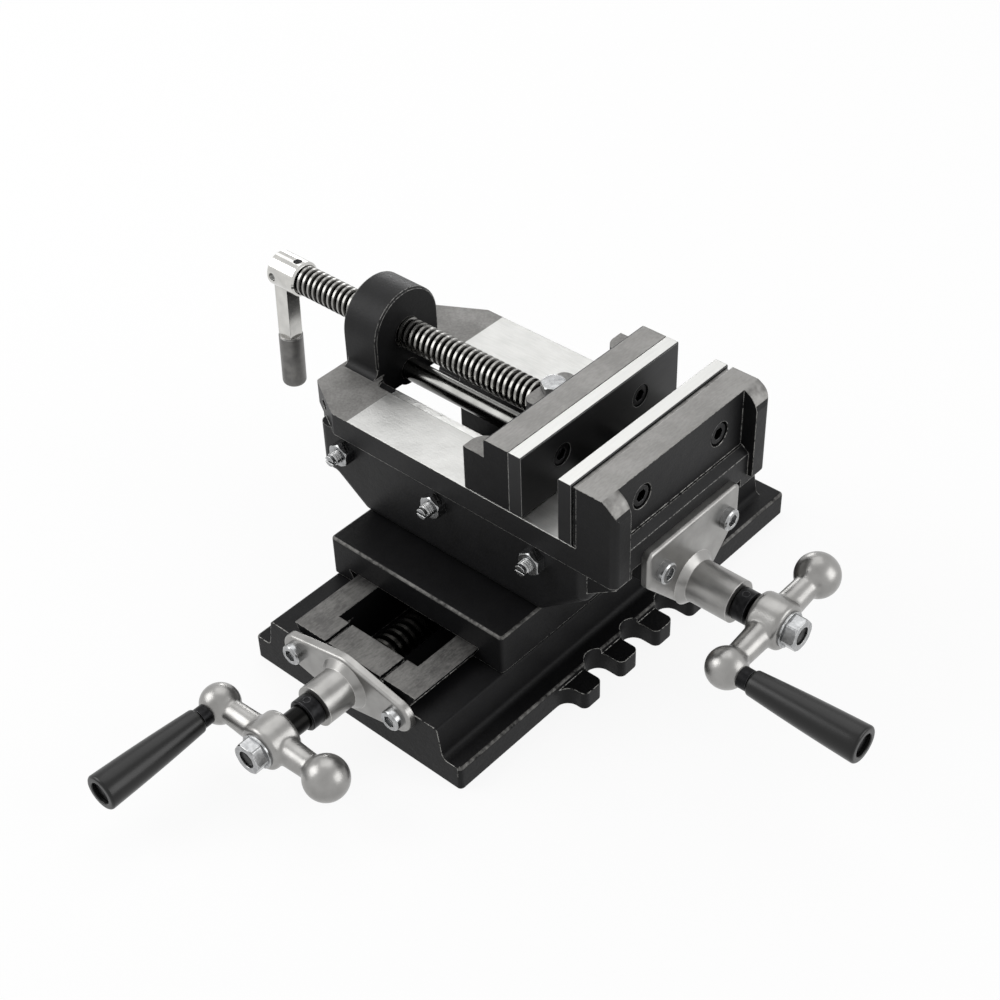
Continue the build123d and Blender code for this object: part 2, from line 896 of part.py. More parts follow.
def vise_casting():
    casting = slab() + skirts() + end_wall_block() + screw_boss() + fixed_jaw_block()
    casting += bar_x(guide_pad, -slab_back + overcut, boss_face, 0, guide_z)
    casting -= jaw_relief()
    channel = Pos((boss_face + fixed_root) / 2, 0) * Rectangle(fixed_root - boss_face, jaw_channel)
    channel = round_corners(channel, jaw_channel_corner, lambda corner: True)
    casting -= along_z(channel, slab_bottom - overcut, slab_top + overcut)
    rebate = Pos((rebate_start + fixed_root) / 2, 0)
    rebate *= Rectangle(fixed_root - rebate_start, jaw_channel + 2 * jaw_rebate)
    rebate = round_corners(rebate, jaw_channel_corner, lambda corner: True)
    casting -= along_z(rebate, slab_top - jaw_rebate_depth, slab_top + overcut)
    casting -= bar_x(clamp_radius + running_gap, -slab_back - overcut, boss_face + overcut, 0, clamp_z)
    casting -= bar_x(guide_radius + seat_gap, -slab_back - overcut, guide_front, 0, guide_z)
    casting -= bar_x(lead_hole, wall_front - overcut, slab_front + overcut, 0, long_axis_z)
    for y in long_ear_places():
        casting -= bar_x(bracket_screw_thread, wall_front - overcut, slab_front + overcut, y, long_ear_z)
    for y in screw_sides():
        casting -= bar_x(plate_screw_hole, fixed_root - overcut, rib_back + overcut, y, plate_screw_z)
        casting -= bar_x(fixed_sink_radius, fixed_screw_seat, rib_back + overcut, y, plate_screw_z)
    side = -body_width / 2 - overcut
    for x in long_gib_places():
        casting -= bar_y(long_gib_screw_radius + seat_gap, side, -tower_neck, x, long_gib_z())
    return casting - bar_y(rod_screw_radius + seat_gap, side, 0, rod_screw_x, guide_z)


def plain_plate(face, back):
    """A jaw plate between its working face and its back, with its long edges taken off."""
    half = body_width / 2
    plate = block(face, back, -half, half, jaw_bottom, jaw_top)
    return chamfer(plate.edges().filter_by(Axis.Y), plate_edge)


def screw_sides():
    """Y places of the two screws of each jaw plate."""
    return (-plate_screw_spread / 2, plate_screw_spread / 2)


def fixed_jaw_plate():
    """Jaw plate with two tapped holes in its back."""
    plate = plain_plate(fixed_face, fixed_root)
    for y in screw_sides():
        plate -= bar_x(plate_screw_hole, fixed_face + plate_wall, fixed_root + overcut, y, plate_screw_z)
    return plate


def fixed_jaw_screws():
    """Socket screws that hold the fixed plate from the back of the casting."""
    length = fixed_screw_seat - fixed_face - plate_wall - slide_gap
    head_radius = cap_head_share * plate_screw_radius
    screw = to_plus_x * cap_screw(plate_screw_radius, length, fixed_screw_head, head_radius)
    return [Pos(fixed_screw_seat, y, plate_screw_z) * screw for y in screw_sides()]


def movable_jaw_plate():
    """Jaw plate with two sunk holes for socket screws."""
    plate = plain_plate(jaw_front, jaw_face)
    sink_radius = cap_head_share * plate_screw_radius + seat_gap
    for y in screw_sides():
        plate -= bar_x(plate_screw_hole, jaw_front - overcut, jaw_face + overcut, y, plate_screw_z)
        plate -= bar_x(sink_radius, jaw_face - plate_sink_depth, jaw_face + overcut, y, plate_screw_z)
    return plate


def movable_jaw_screws():
    length = plate_thickness - plate_sink_depth + plate_screw_grip
    head_radius = cap_head_share * plate_screw_radius
    screw = to_plus_x * cap_screw(plate_screw_radius, length, plate_screw_head, head_radius)
    return [Pos(jaw_face - plate_sink_depth, y, plate_screw_z) * screw for y in screw_sides()]


def long_gib_z():
    return tower_top - tower_flank / 2


def long_gib_places():
    return [long_gib_place - gib_screw_pitch, long_gib_place, long_gib_place + gib_screw_pitch]


def long_gib():
    low = tower_neck_z + slide_gap
    strip = along_x(gib_face(tower_spread / 2, tower_top, low, tower_angle), gib_end_gap - skirt_back,
                    skirt_front - gib_end_gap)
    dimple = long_gib_screw_radius + running_gap
    for x in long_gib_places():
        strip -= bar_y(dimple, -long_gib_tip() - gib_thickness, -long_gib_tip(), x, long_gib_z())
    return strip


def long_gib_tip():
    return gib_back(tower_spread / 2, tower_top, tower_angle, long_gib_z()) - gib_dimple


def long_gib_screws():
    length = skirt_outer + long_gib_nut_thickness + long_gib_screw_stand - long_gib_tip()
    screw = to_minus_y * set_screw(long_gib_screw_radius, length)
    return [Pos(x, -long_gib_tip(), long_gib_z()) * screw for x in long_gib_places()]


def long_gib_nuts():
    bore = long_gib_screw_radius + seat_gap
    nut = to_minus_y * hex_nut(bore, long_gib_nut_across_flats, long_gib_nut_thickness)
    return [Pos(x, -skirt_outer, long_gib_z()) * nut for x in long_gib_places()]


def guide_rod():
    rod = bar_x(guide_radius, -slab_back, guide_front - overcut, 0, guide_z)
    return chamfer(rod.edges().filter_by(GeomType.CIRCLE), guide_edge)


def guide_rod_screw():
    """Set screw in the side of the top plate that holds the guide rod."""
    screw = to_minus_y * set_screw(rod_screw_radius, rod_screw_length)
    return Pos(rod_screw_x, -guide_radius - seat_gap, guide_z) * screw


# Movable jaw, drawn about the middle of the clamping axis

def jaw_lug():
    """A lug behind one end of the movable jaw, rounded at its inner back corner, drawn on the +Y side."""
    half = body_width / 2
    back = jaw_back - lug_back
    outline = Pos((back + jaw_back + overcut) / 2, half - jaw_lug_width / 2)
    outline *= Rectangle(lug_back + overcut, jaw_lug_width)
    inner_back = lambda corner: corner.X < jaw_back and corner.Y < half - tolerance
    outline = round_corners(outline, jaw_lug_corner, inner_back)
    return along_z(outline, jaw_bottom, jaw_top - jaw_lug_drop)


def movable_jaw():
    half = body_width / 2
    upright = block(jaw_back, jaw_front, -half, half, jaw_bottom, jaw_top)
    upright = fillet(upright.edges().filter_by(Axis.Y).group_by(Axis.X)[0].sort_by(Axis.Z)[-1:], cast_edge)
    lug = jaw_lug()
    shape = upright + lug + mirror_y(lug)
    outline = Pos((boss_rear + jaw_back + overcut) / 2, 0) * Rectangle(jaw_boss_back + overcut, jaw_boss_width)
    outline = round_corners(outline, jaw_boss_corner, lambda corner: corner.X < jaw_back)
    shape += along_z(outline, jaw_bottom, bolt_seat)
    tongue = Pos((boss_rear + jaw_front) / 2, 0)
    tongue *= RectangleRounded(jaw_front - boss_rear, jaw_channel - 2 * slide_gap, tongue_corner)
    shape += along_z(tongue, jaw_bottom - tongue_drop, jaw_bottom + overcut)
    shape -= bar_x(guide_radius + running_gap, boss_rear - overcut, jaw_front + overcut, 0, guide_z)
    socket_end = boss_rear + journal_length + overcut
    shape -= bar_x(journal_radius + running_gap, boss_rear - overcut, socket_end, 0, clamp_z)
    shape -= bar_z(bolt_radius + seat_gap, clamp_z, bolt_seat + overcut, bolt_x, 0)
    for y in screw_sides():
        shape -= bar_x(plate_screw_hole, jaw_back - overcut, jaw_front + overcut, y, plate_screw_z)
    return shape


def retaining_bolt():
    """Hexagon bolt through the back of the jaw, its tip in the groove of the clamp screw."""
    tip = clamp_z + groove_radius + shoulder_gap
    shank = bar_z(bolt_radius, tip, bolt_seat, bolt_x, 0)
    return shank + Pos(bolt_x, 0, bolt_seat) * hex_head(bolt_across_flats, bolt_head)


# Clamp screw and folding handle, drawn about the middle of the clamping axis

def clamp_screw():
    front = boss_rear - shoulder_gap
    profile = [
        (-clamp_back, clamp_radius),
        (front, clamp_radius),
        (front, journal_radius),
        (bolt_x - groove_width / 2, journal_radius),
        (bolt_x - groove_width / 2, groove_radius),
        (bolt_x + groove_width / 2, groove_radius),
        (bolt_x + groove_width / 2, journal_radius),
        (boss_rear + journal_length, journal_radius),
    ]
    stub = -clamp_back - head_socket
    outline = [(stub, 0), (stub, journal_radius), (-clamp_back, journal_radius)] + profile
    outline.append((boss_rear + journal_length, 0))
    shape = revolve(Plane.XZ * polygon(outline), Axis.X)
    shape = Pos(0, 0, clamp_z) * shape
    return shape - bar_z(head_pin_radius + seat_gap, 0, 2 * clamp_z, -clamp_back - head_pin_setback, 0)


def clamp_head():
    """Round head on the back of the clamp screw, slotted for the folding handle."""
    head = bar_x(head_radius, head_end, -clamp_back, 0, clamp_z)
    head = chamfer(head.edges().filter_by(GeomType.CIRCLE), head_edge)
    head -= bar_x(journal_radius + seat_gap, -clamp_back - head_socket, -clamp_back + overcut, 0, clamp_z)
    half = handle_thickness / 2 + slide_gap
    reach = handle_eye + slide_gap
    low = clamp_z - head_radius - overcut
    head -= block(head_end - overcut, pivot_x + reach, -half, half, low, clamp_z + reach)
    head -= bar_y(pivot_radius + seat_gap, -head_radius - overcut, head_radius + overcut, pivot_x, clamp_z)
    return head - bar_z(head_pin_radius + seat_gap, 0, 2 * clamp_z, -clamp_back - head_pin_setback, 0)


def clamp_head_pin():
    reach = head_radius - slide_gap
    return bar_z(head_pin_radius, clamp_z - reach, clamp_z + reach, -clamp_back - head_pin_setback, 0)


def handle_pivot():
    reach = head_radius - pivot_inset
    return bar_y(pivot_radius, -reach, reach, pivot_x, clamp_z)


def handle_bar():
    """Flat bar that hangs from the head, with an eye at its top and a round stem in the sleeve."""
    low = clamp_z - handle_bar_length
    face = Pos(pivot_x, clamp_z) * Circle(handle_eye)
    face += Pos(pivot_x, (clamp_z + low) / 2) * Rectangle(handle_width, clamp_z - low)
    bar = along_y(face, -handle_thickness / 2, handle_thickness / 2)
    bar -= bar_y(pivot_radius + running_gap, -handle_thickness, handle_thickness, pivot_x, clamp_z)
    return bar + bar_z(stem_radius, low - sleeve_socket, low, pivot_x, 0)


def lean(shape):
    """Turns a piece of the handle about its pivot to the angle at which it hangs."""
    return Pos(pivot_x, 0, clamp_z) * Rot(0, handle_lean, 0) * Pos(-pivot_x, 0, -clamp_z) * shape


def handle_sleeve():
    top = clamp_z - handle_bar_length
    sleeve = bar_z(sleeve_radius, top - sleeve_length, top, pivot_x, 0)
    sleeve = fillet(sleeve.edges().group_by(Axis.Z)[0], sleeve_corner)
    sleeve = chamfer(sleeve.edges().group_by(Axis.Z)[-1], sleeve_edge)
    return sleeve - bar_z(stem_radius + seat_gap, top - sleeve_socket - seat_gap, top + overcut, pivot_x, 0)


# Brackets

def cross_bracket():
    """Oval flange with two ears and a barrel that carries the front of the cross screw."""
    middle = Circle(cross_plate_radius)
    ears = [Pos(x, 0) * Circle(cross_ear_radius) for x in cross_ear_places()]
    outline = make_hull((middle.edges() + ears[0].edges() + ears[1].edges()))
    front = base_front - bracket_plate
    plate = along_y(Pos(0, cross_axis_z) * outline, front, base_front)
    plate = fillet(plate.edges().group_by(Axis.Y)[0], bracket_edge)
    shape = plate + bar_y(barrel_radius, front - cross_barrel, front + overcut, 0, cross_axis_z)
    shape += Pos(0, front, cross_axis_z) * to_minus_y * barrel_flare()
    shape -= bar_y(axle_hole, front - cross_barrel - overcut, base_front + overcut, 0, cross_axis_z)
    for x in cross_ear_places():
        shape -= bar_y(bracket_screw_hole, front - overcut, base_front + overcut, x, cross_axis_z)
    return shape


def cross_ear_places():
    return (-cross_ear_spread / 2, cross_ear_spread / 2)


def barrel_flare():
    """Flare where a barrel grows out of its plate, along +Z from the origin."""
    rise = barrel_flare_rise
    flare = polygon([(0, 0), (barrel_radius + rise, 0), (barrel_radius, rise), (0, rise)])
    return revolve(Plane.XZ * flare, Axis.Z)


def bracket_screw():
    return cap_screw(bracket_screw_radius, bracket_screw_length, bracket_screw_head, bracket_screw_head_radius)


def cross_bracket_screws():
    screw = to_minus_y * bracket_screw()
    front = base_front - bracket_plate
    return [Pos(x, front, cross_axis_z) * screw for x in cross_ear_places()]


def long_outline(inset):
    """Outline of the side bracket's plate, wide at the top and drawn in round the barrel."""
    half = long_plate_width / 2 - long_plate_corner
    edges = Circle(long_plate_radius - inset).edges()
    for side in (-1, 1):
        for height in (long_plate_top - long_plate_corner, long_plate_side + long_plate_corner):
            edges += (Pos(side * half, height) * Circle(long_plate_corner - inset)).edges()
    return Pos(0, long_axis_z) * make_hull(edges)


def long_bracket():
    """Flange bolted under the fixed jaw, with the barrel that carries the side screw."""
    front = slab_front + bracket_plate
    plate = along_x(long_outline(0), slab_front, front)
    plate = fillet(plate.edges().group_by(Axis.X)[-1], bracket_edge)
    shape = plate + bar_x(barrel_radius, front - overcut, front + long_barrel, 0, long_axis_z)
    shape += Pos(front, 0, long_axis_z) * to_plus_x * barrel_flare()
    shape -= bar_x(axle_hole, slab_front - overcut, front + long_barrel + overcut, 0, long_axis_z)
    for y in long_ear_places():
        shape -= bar_x(bracket_screw_hole, slab_front - overcut, front + overcut, y, long_ear_z)
    return shape


def long_ear_places():
    return (-long_ear_spread / 2, long_ear_spread / 2)


def long_bracket_screws():
    screw = to_plus_x * bracket_screw()
    front = slab_front + bracket_plate
    return [Pos(front, y, long_ear_z) * screw for y in long_ear_places()]


# Lead screws and cranks. Each is drawn along +X with the middle of the crank's hub at the origin, and then
# turned to its place: shaft_back is how far behind that point the plate of its bracket ends.

def lead_screw(shaft_back, thread_length):
    """Lead screw with a plain axle, a square for the crank and a threaded end for its nut."""
    shoulder = -shaft_back - shoulder_gap
    inner = hub_length / 2
    square_start = -hub_length / 2
    outline = polygon([
        (shoulder - thread_length, 0),
        (shoulder - thread_length, lead_radius - lead_chamfer),
        (shoulder - thread_length + lead_chamfer, lead_radius),
        (shoulder, lead_radius),
        (shoulder, axle_radius),
        (square_start, axle_radius),
        (square_start, 0),
    ])
    shape = revolve(Plane.XZ * outline, Axis.X)
    shape += along_x(Rectangle(square_size, square_size), square_start - overcut, inner - overcut)
    tail = inner + washer_thickness + nut_thickness - nut_recess
    tail_bar = bar_x(end_radius, inner - 2 * overcut, tail, 0, 0)
    return shape + chamfer(tail_bar.edges().group_by(Axis.X)[-1], end_chamfer)


def collar(neck):
    """Thrust collar pinned on the axle just outside the barrel."""
    outer = -hub_length / 2 - neck
    ring = bar_x(collar_radius, outer - collar_length, outer, 0, 0)
    ring = chamfer(ring.edges().filter_by(GeomType.CIRCLE), collar_edge)
    ring -= bar_x(axle_radius + seat_gap, outer - collar_length - overcut, outer + overcut, 0, 0)
    middle = outer - collar_length / 2
    return ring - bar_z(collar_pin_radius + seat_gap, 0, collar_radius + overcut, middle, 0)


def collar_pin(neck):
    """Grub screw through the wall of the collar on to the axle."""
    middle = -hub_length / 2 - neck - collar_length / 2
    return bar_z(collar_pin_radius, axle_radius + seat_gap, collar_radius - running_gap, middle, 0)


def crank():
    """Two-ball crank with the handle ball on the -Y side and the counterweight ball on the +Y side."""
    hub = bar_x(hub_radius, -hub_length / 2, hub_length / 2, 0, 0)
    hub = fillet(hub.edges().filter_by(GeomType.CIRCLE), hub_edge)
    arm = polygon([(0, 0), (arm_root, 0), (arm_tip, arm_length), (0, arm_length)])
    arm = revolve(Plane.XY * arm, Axis.Y)
    other = mirror_y(arm)
    shape = hub + arm + other
    shape += Pos(0, arm_length, 0) * Sphere(counter_ball)
    shape += Pos(0, -arm_length, 0) * Sphere(handle_ball)
    shape -= block(ball_flat, ball_flat + handle_ball, -arm_length - handle_ball, handle_ball - arm_length,
                   -handle_ball, handle_ball)
    bore = square_size + 2 * seat_gap
    shape -= along_x(Rectangle(bore, bore), -hub_radius - overcut, hub_radius + overcut)
    shape -= bar_x(axle_radius + seat_gap, -hub_radius, -hub_length / 2, 0, 0)
    spindle_hole = spindle_radius + seat_gap
    return shape - bar_x(spindle_hole, -handle_ball - overcut, ball_flat + overcut, -arm_length, 0)


def crank_washer():
    start = hub_length / 2
    washer = bar_x(washer_radius, start, start + washer_thickness, 0, 0)
    return washer - bar_x(end_radius + seat_gap, start - overcut, start + washer_thickness + overcut, 0, 0)


def crank_nut():
    nut = to_plus_x * hex_nut(end_radius + seat_gap, nut_across_flats, nut_thickness)
    return Pos(hub_length / 2 + washer_thickness, 0, 0) * nut


def grip_start():
    return ball_flat + neck_length + slide_gap


def grip_spindle():
    """Shouldered stud that is pressed into the handle ball and carries the turning grip."""
    rear = slide_gap - (handle_ball**2 - spindle_radius**2)**0.5
    face = grip_start() - slide_gap
    head_start = grip_start() + grip_length - grip_recess + slide_gap
    outline = polygon([
        (rear, 0),
        (rear, spindle_radius),
        (ball_flat, spindle_radius),
        (ball_flat, spindle_flange),
        (face, spindle_flange),
        (face, spindle_radius),
        (head_start, spindle_radius),
        (head_start, spindle_head),
        (head_start + spindle_head_length, spindle_head),
        (head_start + spindle_head_length, 0),
    ])
    stud = revolve(Plane.XZ * outline, Axis.X)
    return Pos(0, -arm_length, 0) * stud


def grip():
    """Tapered grip that turns on the stud, thicker at its outer end."""
    start = grip_start()
    stop = start + grip_length
    bore = spindle_radius + running_gap
    recess = spindle_head + grip_recess_gap
    outline = polygon([
        (start, bore),
        (start, grip_root - grip_root_edge),
        (start + grip_root_edge, grip_root),
        (stop - grip_end_edge, grip_end),
        (stop, grip_end - grip_end_edge),
        (stop, recess),
        (stop - grip_recess, recess),
        (stop - grip_recess, bore),
    ])
    return Pos(0, -arm_length, 0) * revolve(Plane.XZ * outline, Axis.X)


def cross_back():
    """Distance from the middle of the front crank's hub to the face of the base."""
    return hub_length / 2 + cross_neck + collar_length + shoulder_gap + cross_barrel + bracket_plate


def long_back():
    """Distance from the middle of the side crank's hub to the end face of the vise body."""
    return hub_length / 2 + long_neck + collar_length + shoulder_gap + long_barrel + bracket_plate


def place_cross(shape):
    return Pos(0, base_front - cross_back(), cross_axis_z) * Rot(0, 0, -90) * shape


def place_long(shape):
    return place_body(Pos(slab_front + long_back(), 0, long_axis_z) * Rot(long_crank_tilt, 0, 0) * shape)


def save(name, shape):
    """Writes one node. A list of equal pieces becomes one file of separate solids."""
    if isinstance(shape, list):
        solids = [solid for piece in shape for solid in piece.solids()]
        shape = Compound(children=solids)
    export_step(shape, f"parts/{name}.step")


def main():
    os.makedirs("parts", exist_ok=True)
    save("base_casting", base_casting())
    save("cross_bracket", cross_bracket())
    save("cross_bracket_screws", cross_bracket_screws())

    save("saddle_casting", place_saddle(saddle_casting()))
    save("cross_gib", place_saddle(cross_gib()))
    save("cross_gib_screws", [place_saddle(piece) for piece in cross_gib_screws()])
    save("cross_gib_nuts", [place_saddle(piece) for piece in cross_gib_nuts()])
    save("cross_nut", place_saddle(cross_nut()))
    save("cross_nut_screws", [place_saddle(piece) for piece in cross_nut_screws()])
    save("long_nut", place_saddle(long_nut()))
    save("long_nut_screws", [place_saddle(piece) for piece in long_nut_screws()])

    save("vise_casting", place_body(vise_casting()))
    save("fixed_jaw_plate", place_body(fixed_jaw_plate()))
    save("fixed_jaw_screws", [place_body(piece) for piece in fixed_jaw_screws()])
    save("long_gib", place_body(long_gib()))
    save("long_gib_screws", [place_body(piece) for piece in long_gib_screws()])
    save("long_gib_nuts", [place_body(piece) for piece in long_gib_nuts()])
    save("long_bracket", place_body(long_bracket()))
    save("long_bracket_screws", [place_body(piece) for piece in long_bracket_screws()])
    save("guide_rod", place_body(guide_rod()))
    save("guide_rod_screw", place_body(guide_rod_screw()))

    save("movable_jaw", place_body(movable_jaw()))
    save("movable_jaw_plate", place_body(movable_jaw_plate()))
    save("movable_jaw_screws", [place_body(piece) for piece in movable_jaw_screws()])
    save("retaining_bolt", place_body(retaining_bolt()))

    save("clamp_screw", place_body(clamp_screw()))
    save("clamp_head", place_body(clamp_head()))
    save("clamp_head_pin", place_body(clamp_head_pin()))
    save("handle_pivot", place_body(handle_pivot()))
    save("handle_bar", place_body(lean(handle_bar())))
    save("handle_sleeve", place_body(lean(handle_sleeve())))

    cross_thread = base_length / 2 - shoulder_gap + cross_reach
    save("cross_lead_screw", place_cross(lead_screw(cross_back(), cross_thread)))
    save("cross_collar", place_cross(collar(cross_neck)))
    save("cross_collar_pin", place_cross(collar_pin(cross_neck)))
    save("cross_crank", place_cross(crank()))
    save("cross_crank_washer", place_cross(crank_washer()))
    save("cross_crank_nut", place_cross(crank_nut()))
    save("cross_grip_spindle", place_cross(grip_spindle()))
    save("cross_grip", place_cross(grip()))

    long_thread = slab_front - shoulder_gap + long_reach
    save("long_lead_screw", place_long(lead_screw(long_back(), long_thread)))
    save("long_collar", place_long(collar(long_neck)))
    save("long_collar_pin", place_long(collar_pin(long_neck)))
    save("long_crank", place_long(crank()))
    save("long_crank_washer", place_long(crank_washer()))
    save("long_crank_nut", place_long(crank_nut()))
    save("long_grip_spindle", place_long(grip_spindle()))
    save("long_grip", place_long(grip()))


main()
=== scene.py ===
import math
from collections import namedtuple

import bmesh
import bpy
from mathutils import Matrix, Vector


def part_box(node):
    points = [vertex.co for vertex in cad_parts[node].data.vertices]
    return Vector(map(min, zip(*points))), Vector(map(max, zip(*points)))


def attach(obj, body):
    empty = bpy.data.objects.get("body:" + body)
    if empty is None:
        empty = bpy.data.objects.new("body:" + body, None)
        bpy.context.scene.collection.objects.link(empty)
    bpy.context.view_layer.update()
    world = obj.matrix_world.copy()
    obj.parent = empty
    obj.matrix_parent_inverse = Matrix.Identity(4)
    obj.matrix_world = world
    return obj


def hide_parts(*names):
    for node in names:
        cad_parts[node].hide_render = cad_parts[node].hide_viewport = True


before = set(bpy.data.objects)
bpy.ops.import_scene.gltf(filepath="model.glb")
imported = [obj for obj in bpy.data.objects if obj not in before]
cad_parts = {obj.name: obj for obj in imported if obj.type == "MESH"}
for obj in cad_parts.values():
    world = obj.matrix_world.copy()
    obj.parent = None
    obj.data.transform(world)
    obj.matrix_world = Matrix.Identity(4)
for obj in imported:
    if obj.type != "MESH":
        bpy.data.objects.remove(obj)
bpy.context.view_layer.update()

# Cross slide vise. Everything is in metres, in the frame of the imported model: X along the clamping axis,
# Y from the front crank to the back, Z up, and the floor at zero.

MM = 0.001
HAIR = 0.3 * MM
WELD = 0.001 * MM
SHARP_ANGLE = math.radians(38)

# Round forms: how finely they are divided
LATHE_SEGMENTS = 64
SCREW_SEGMENTS = 56
GIB_SCREW_SEGMENTS = 32
SLOT_STEPS = 16
EDGE_STEPS = 6
BALL_STEPS = 24
GRIP_SEGMENTS = 96
GRIP_STEPS = 14

# Threads: pitch and depth, and the shares of the pitch taken by the crest and by each flank
CLAMP_PITCH = 3.175 * MM
CLAMP_THREAD = 1.5 * MM
LEAD_PITCH = 4.0 * MM
LEAD_THREAD = 1.9 * MM
CREST_SHARE = 0.36
FLANK_SHARE = 0.17

# Screws: how far a plain part reaches into the thread beside it
OVERLAP = 1.0 * MM

# Clamp screw: plain journal in the jaw, with the groove for the retaining bolt
JOURNAL_RADIUS = 5.5 * MM
GROOVE_RADIUS = 3.9 * MM
GROOVE_HALF = 3.3 * MM
JOURNAL_LENGTH = 12.3 * MM

# Lead screws: plain axle and the M8 end under the crank's nut
AXLE_RADIUS = 5.5 * MM
END_RADIUS = 4.0 * MM
END_PITCH = 1.25 * MM
END_THREAD = 0.65 * MM

# Gib screws: pitches of M4 and M6, the root, and the slot's half width and depth as shares of the radius
CROSS_GIB_PITCH = 0.7 * MM
LONG_GIB_PITCH = 1.0 * MM
GIB_ROOT_SHARE = 0.84
SLOT_SHARE = 0.2
SLOT_DEPTH_SHARE = 0.6

# Two-ball cranks, and how they are melted into one casting
HUB_RADIUS = 10.5 * MM
HUB_HALF = 7.5 * MM
HUB_EDGE = 2.0 * MM
ARM_LENGTH = 31.0 * MM
ARM_ROOT = 6.4 * MM
ARM_TIP = 5.2 * MM
HANDLE_BALL = 8.9 * MM
COUNTER_BALL = 9.9 * MM
BALL_FLAT = 7.5 * MM
CRANK_TILT = math.radians(5.0)
CAST_VOXEL = 0.5 * MM
CAST_SMOOTHING = 28

# Grips
GRIP_BORE = 3.1 * MM
GRIP_ROOT = 5.5 * MM
GRIP_END = 8.3 * MM
GRIP_CROWN = 0.25 * MM
GRIP_RECESS = 5.0 * MM
GRIP_RECESS_RADIUS = 5.0 * MM
GRIP_RECESS_CHAMFER = 0.3 * MM
GRIP_EDGE = 1.2 * MM

# Floor, surroundings and lamps: the floor's half width, the share of it that glows plain white to the eye,
# the strength of the surroundings as a light, and the point that the lamps look at
FLOOR_HALF = 4.0
FLOOR_GLOW = 0.9
SKY_LIGHT = 0.4
VISE_MIDDLE = Vector((0, 0, 0.05))


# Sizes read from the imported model

def node_centre(name):
    """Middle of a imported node's box."""
    low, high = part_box(name)
    return (low + high) / 2


def node_radius(name):
    """Radius of a packed round node that lies level."""
    low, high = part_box(name)
    return (high.z - low.z) / 2


CLAMP_AXIS = node_centre("clamp_screw")
CLAMP_CREST = node_radius("clamp_screw")
CROSS_AXIS = node_centre("cross_lead_screw")
LONG_AXIS = node_centre("long_lead_screw")
LEAD_CREST = node_radius("cross_lead_screw")

# Castings: where the paint ends and the zones drawn apart from it start, bare iron, painted highlights and
# painted sheen. The slab's tail carries a painted sheen for its first 31 mm, the rebate is milled 1.2 mm
# deep, the ribs' crowns are 9 mm high, and the jaw's ears stand clear of the slab.
SADDLE_DECK = 48.0 * MM
FLANGE_TOP = 12.0 * MM
RIM_HEIGHT = 1.2 * MM
BASE_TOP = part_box("base_casting")[1].z
JAW_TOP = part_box("movable_jaw")[1].z
SLAB_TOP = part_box("movable_jaw_plate")[0].z - HAIR
SLAB_REBATE = SLAB_TOP - 1.2 * MM
SLAB_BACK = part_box("vise_casting")[0].x
SLAB_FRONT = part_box("vise_casting")[1].x + HAIR
MILLED_START = SLAB_BACK + 31 * MM
MILLED_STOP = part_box("fixed_jaw_plate")[1].x + HAIR
RIB_CROWN = JAW_TOP - 9 * MM
EAR_BOTTOM = SLAB_TOP + 3 * MM


# Colours and nodes

def colour(code):
    """Linear colour of an sRGB hex value."""
    shares = [int(code[place:place + 2], 16) / 255 for place in (1, 3, 5)]
    linear = [share / 12.92 if share <= 0.04045 else ((share + 0.055) / 1.055) ** 2.4 for share in shares]
    return linear + [1.0]


def put(tree, kind, settings=None, links=None):
    """Adds a node, gives it its settings, and feeds its inputs from other nodes or their sockets."""
    node = tree.nodes.new("ShaderNode" + kind)
    for name, value in (settings or {}).items():
        if isinstance(name, int) or name in node.inputs:
            node.inputs[name].default_value = colour(value) if isinstance(value, str) else value
        else:
            setattr(node, name, value)
    for name, source in (links or {}).items():
        socket = source.outputs[0] if hasattr(source, "outputs") else source
        tree.links.new(socket, node.inputs[name])
    return node


def new_material(name):
    """An empty material and its node tree."""
    material = bpy.data.materials.new(name)
    material.use_nodes = True
    material.node_tree.nodes.clear()
    return material, material.node_tree


# How marks lie: a small number draws them out along that axis
EVEN = (1, 1, 1)
ALONG_RAILS = (0.08, 1, 1)
ACROSS_JAWS = (1, 0.3, 1)
GROUND_ALONG_X = (0.05, 1, 1)
GROUND_ALONG_Y = (1, 0.05, 1)
TURNED_ALONG_Z = (1, 1, 0.05)


def mottle(tree, size, detail=2.0, stretch=EVEN):
    """Soft spots about size metres across, drawn out along an axis that has a small stretch."""
    place = put(tree, "TexCoord")
    spread = put(tree, "Mapping", {"Scale": stretch}, {"Vector": place.outputs["Object"]})
    spots = put(tree, "TexNoise", {"Scale": 1 / size, "Detail": detail}, {"Vector": spread})
    return spots.outputs["Fac"]


def rounded_edge_mask(tree, radius):
    """Normal with the edges rounded by a small radius, and a mask that is 1 on those edges."""
    rounded = put(tree, "Bevel", {"samples": 6, "Radius": radius})
    flat = put(tree, "NewGeometry")
    likeness = put(tree, "VectorMath", {"operation": "DOT_PRODUCT"}, {0: rounded, 1: flat.outputs["Normal"]})
    limits = {"From Min": 0.995, "From Max": 0.93}
    mask = put(tree, "MapRange", limits, {"Value": likeness.outputs["Value"]})
    return rounded, mask


# Zones of a casting drawn apart from the paint: bare iron, painted highlights and painted sheen. A finish is
# two tones, roughness, share of metal, and the size and lie of its tool marks. A face is the two corners of a
# box, with None on an axis that has no limits, and the least and most height of its normal, where 1 is level
# and 0 upright.
ZoneFinish = namedtuple("ZoneFinish", "dark light roughness metal mark stretch")
FinishZone = namedtuple("FinishZone", "low high slope")

LEVEL = (0.98, 1.02)
CROWNED = (0.4, 1.02)
ROUNDED_RIM = (0.25, 0.96)


def level_face(z, start=None, stop=None):
    """A flat face at a height, from one place to another along X."""
    return FinishZone((start, None, z - HAIR), (stop, None, z + HAIR), LEVEL)


def rim_face(z):
    """The rounded rim that ends at a height, all the way round."""
    return FinishZone((None, None, z - RIM_HEIGHT), (None, None, z), ROUNDED_RIM)


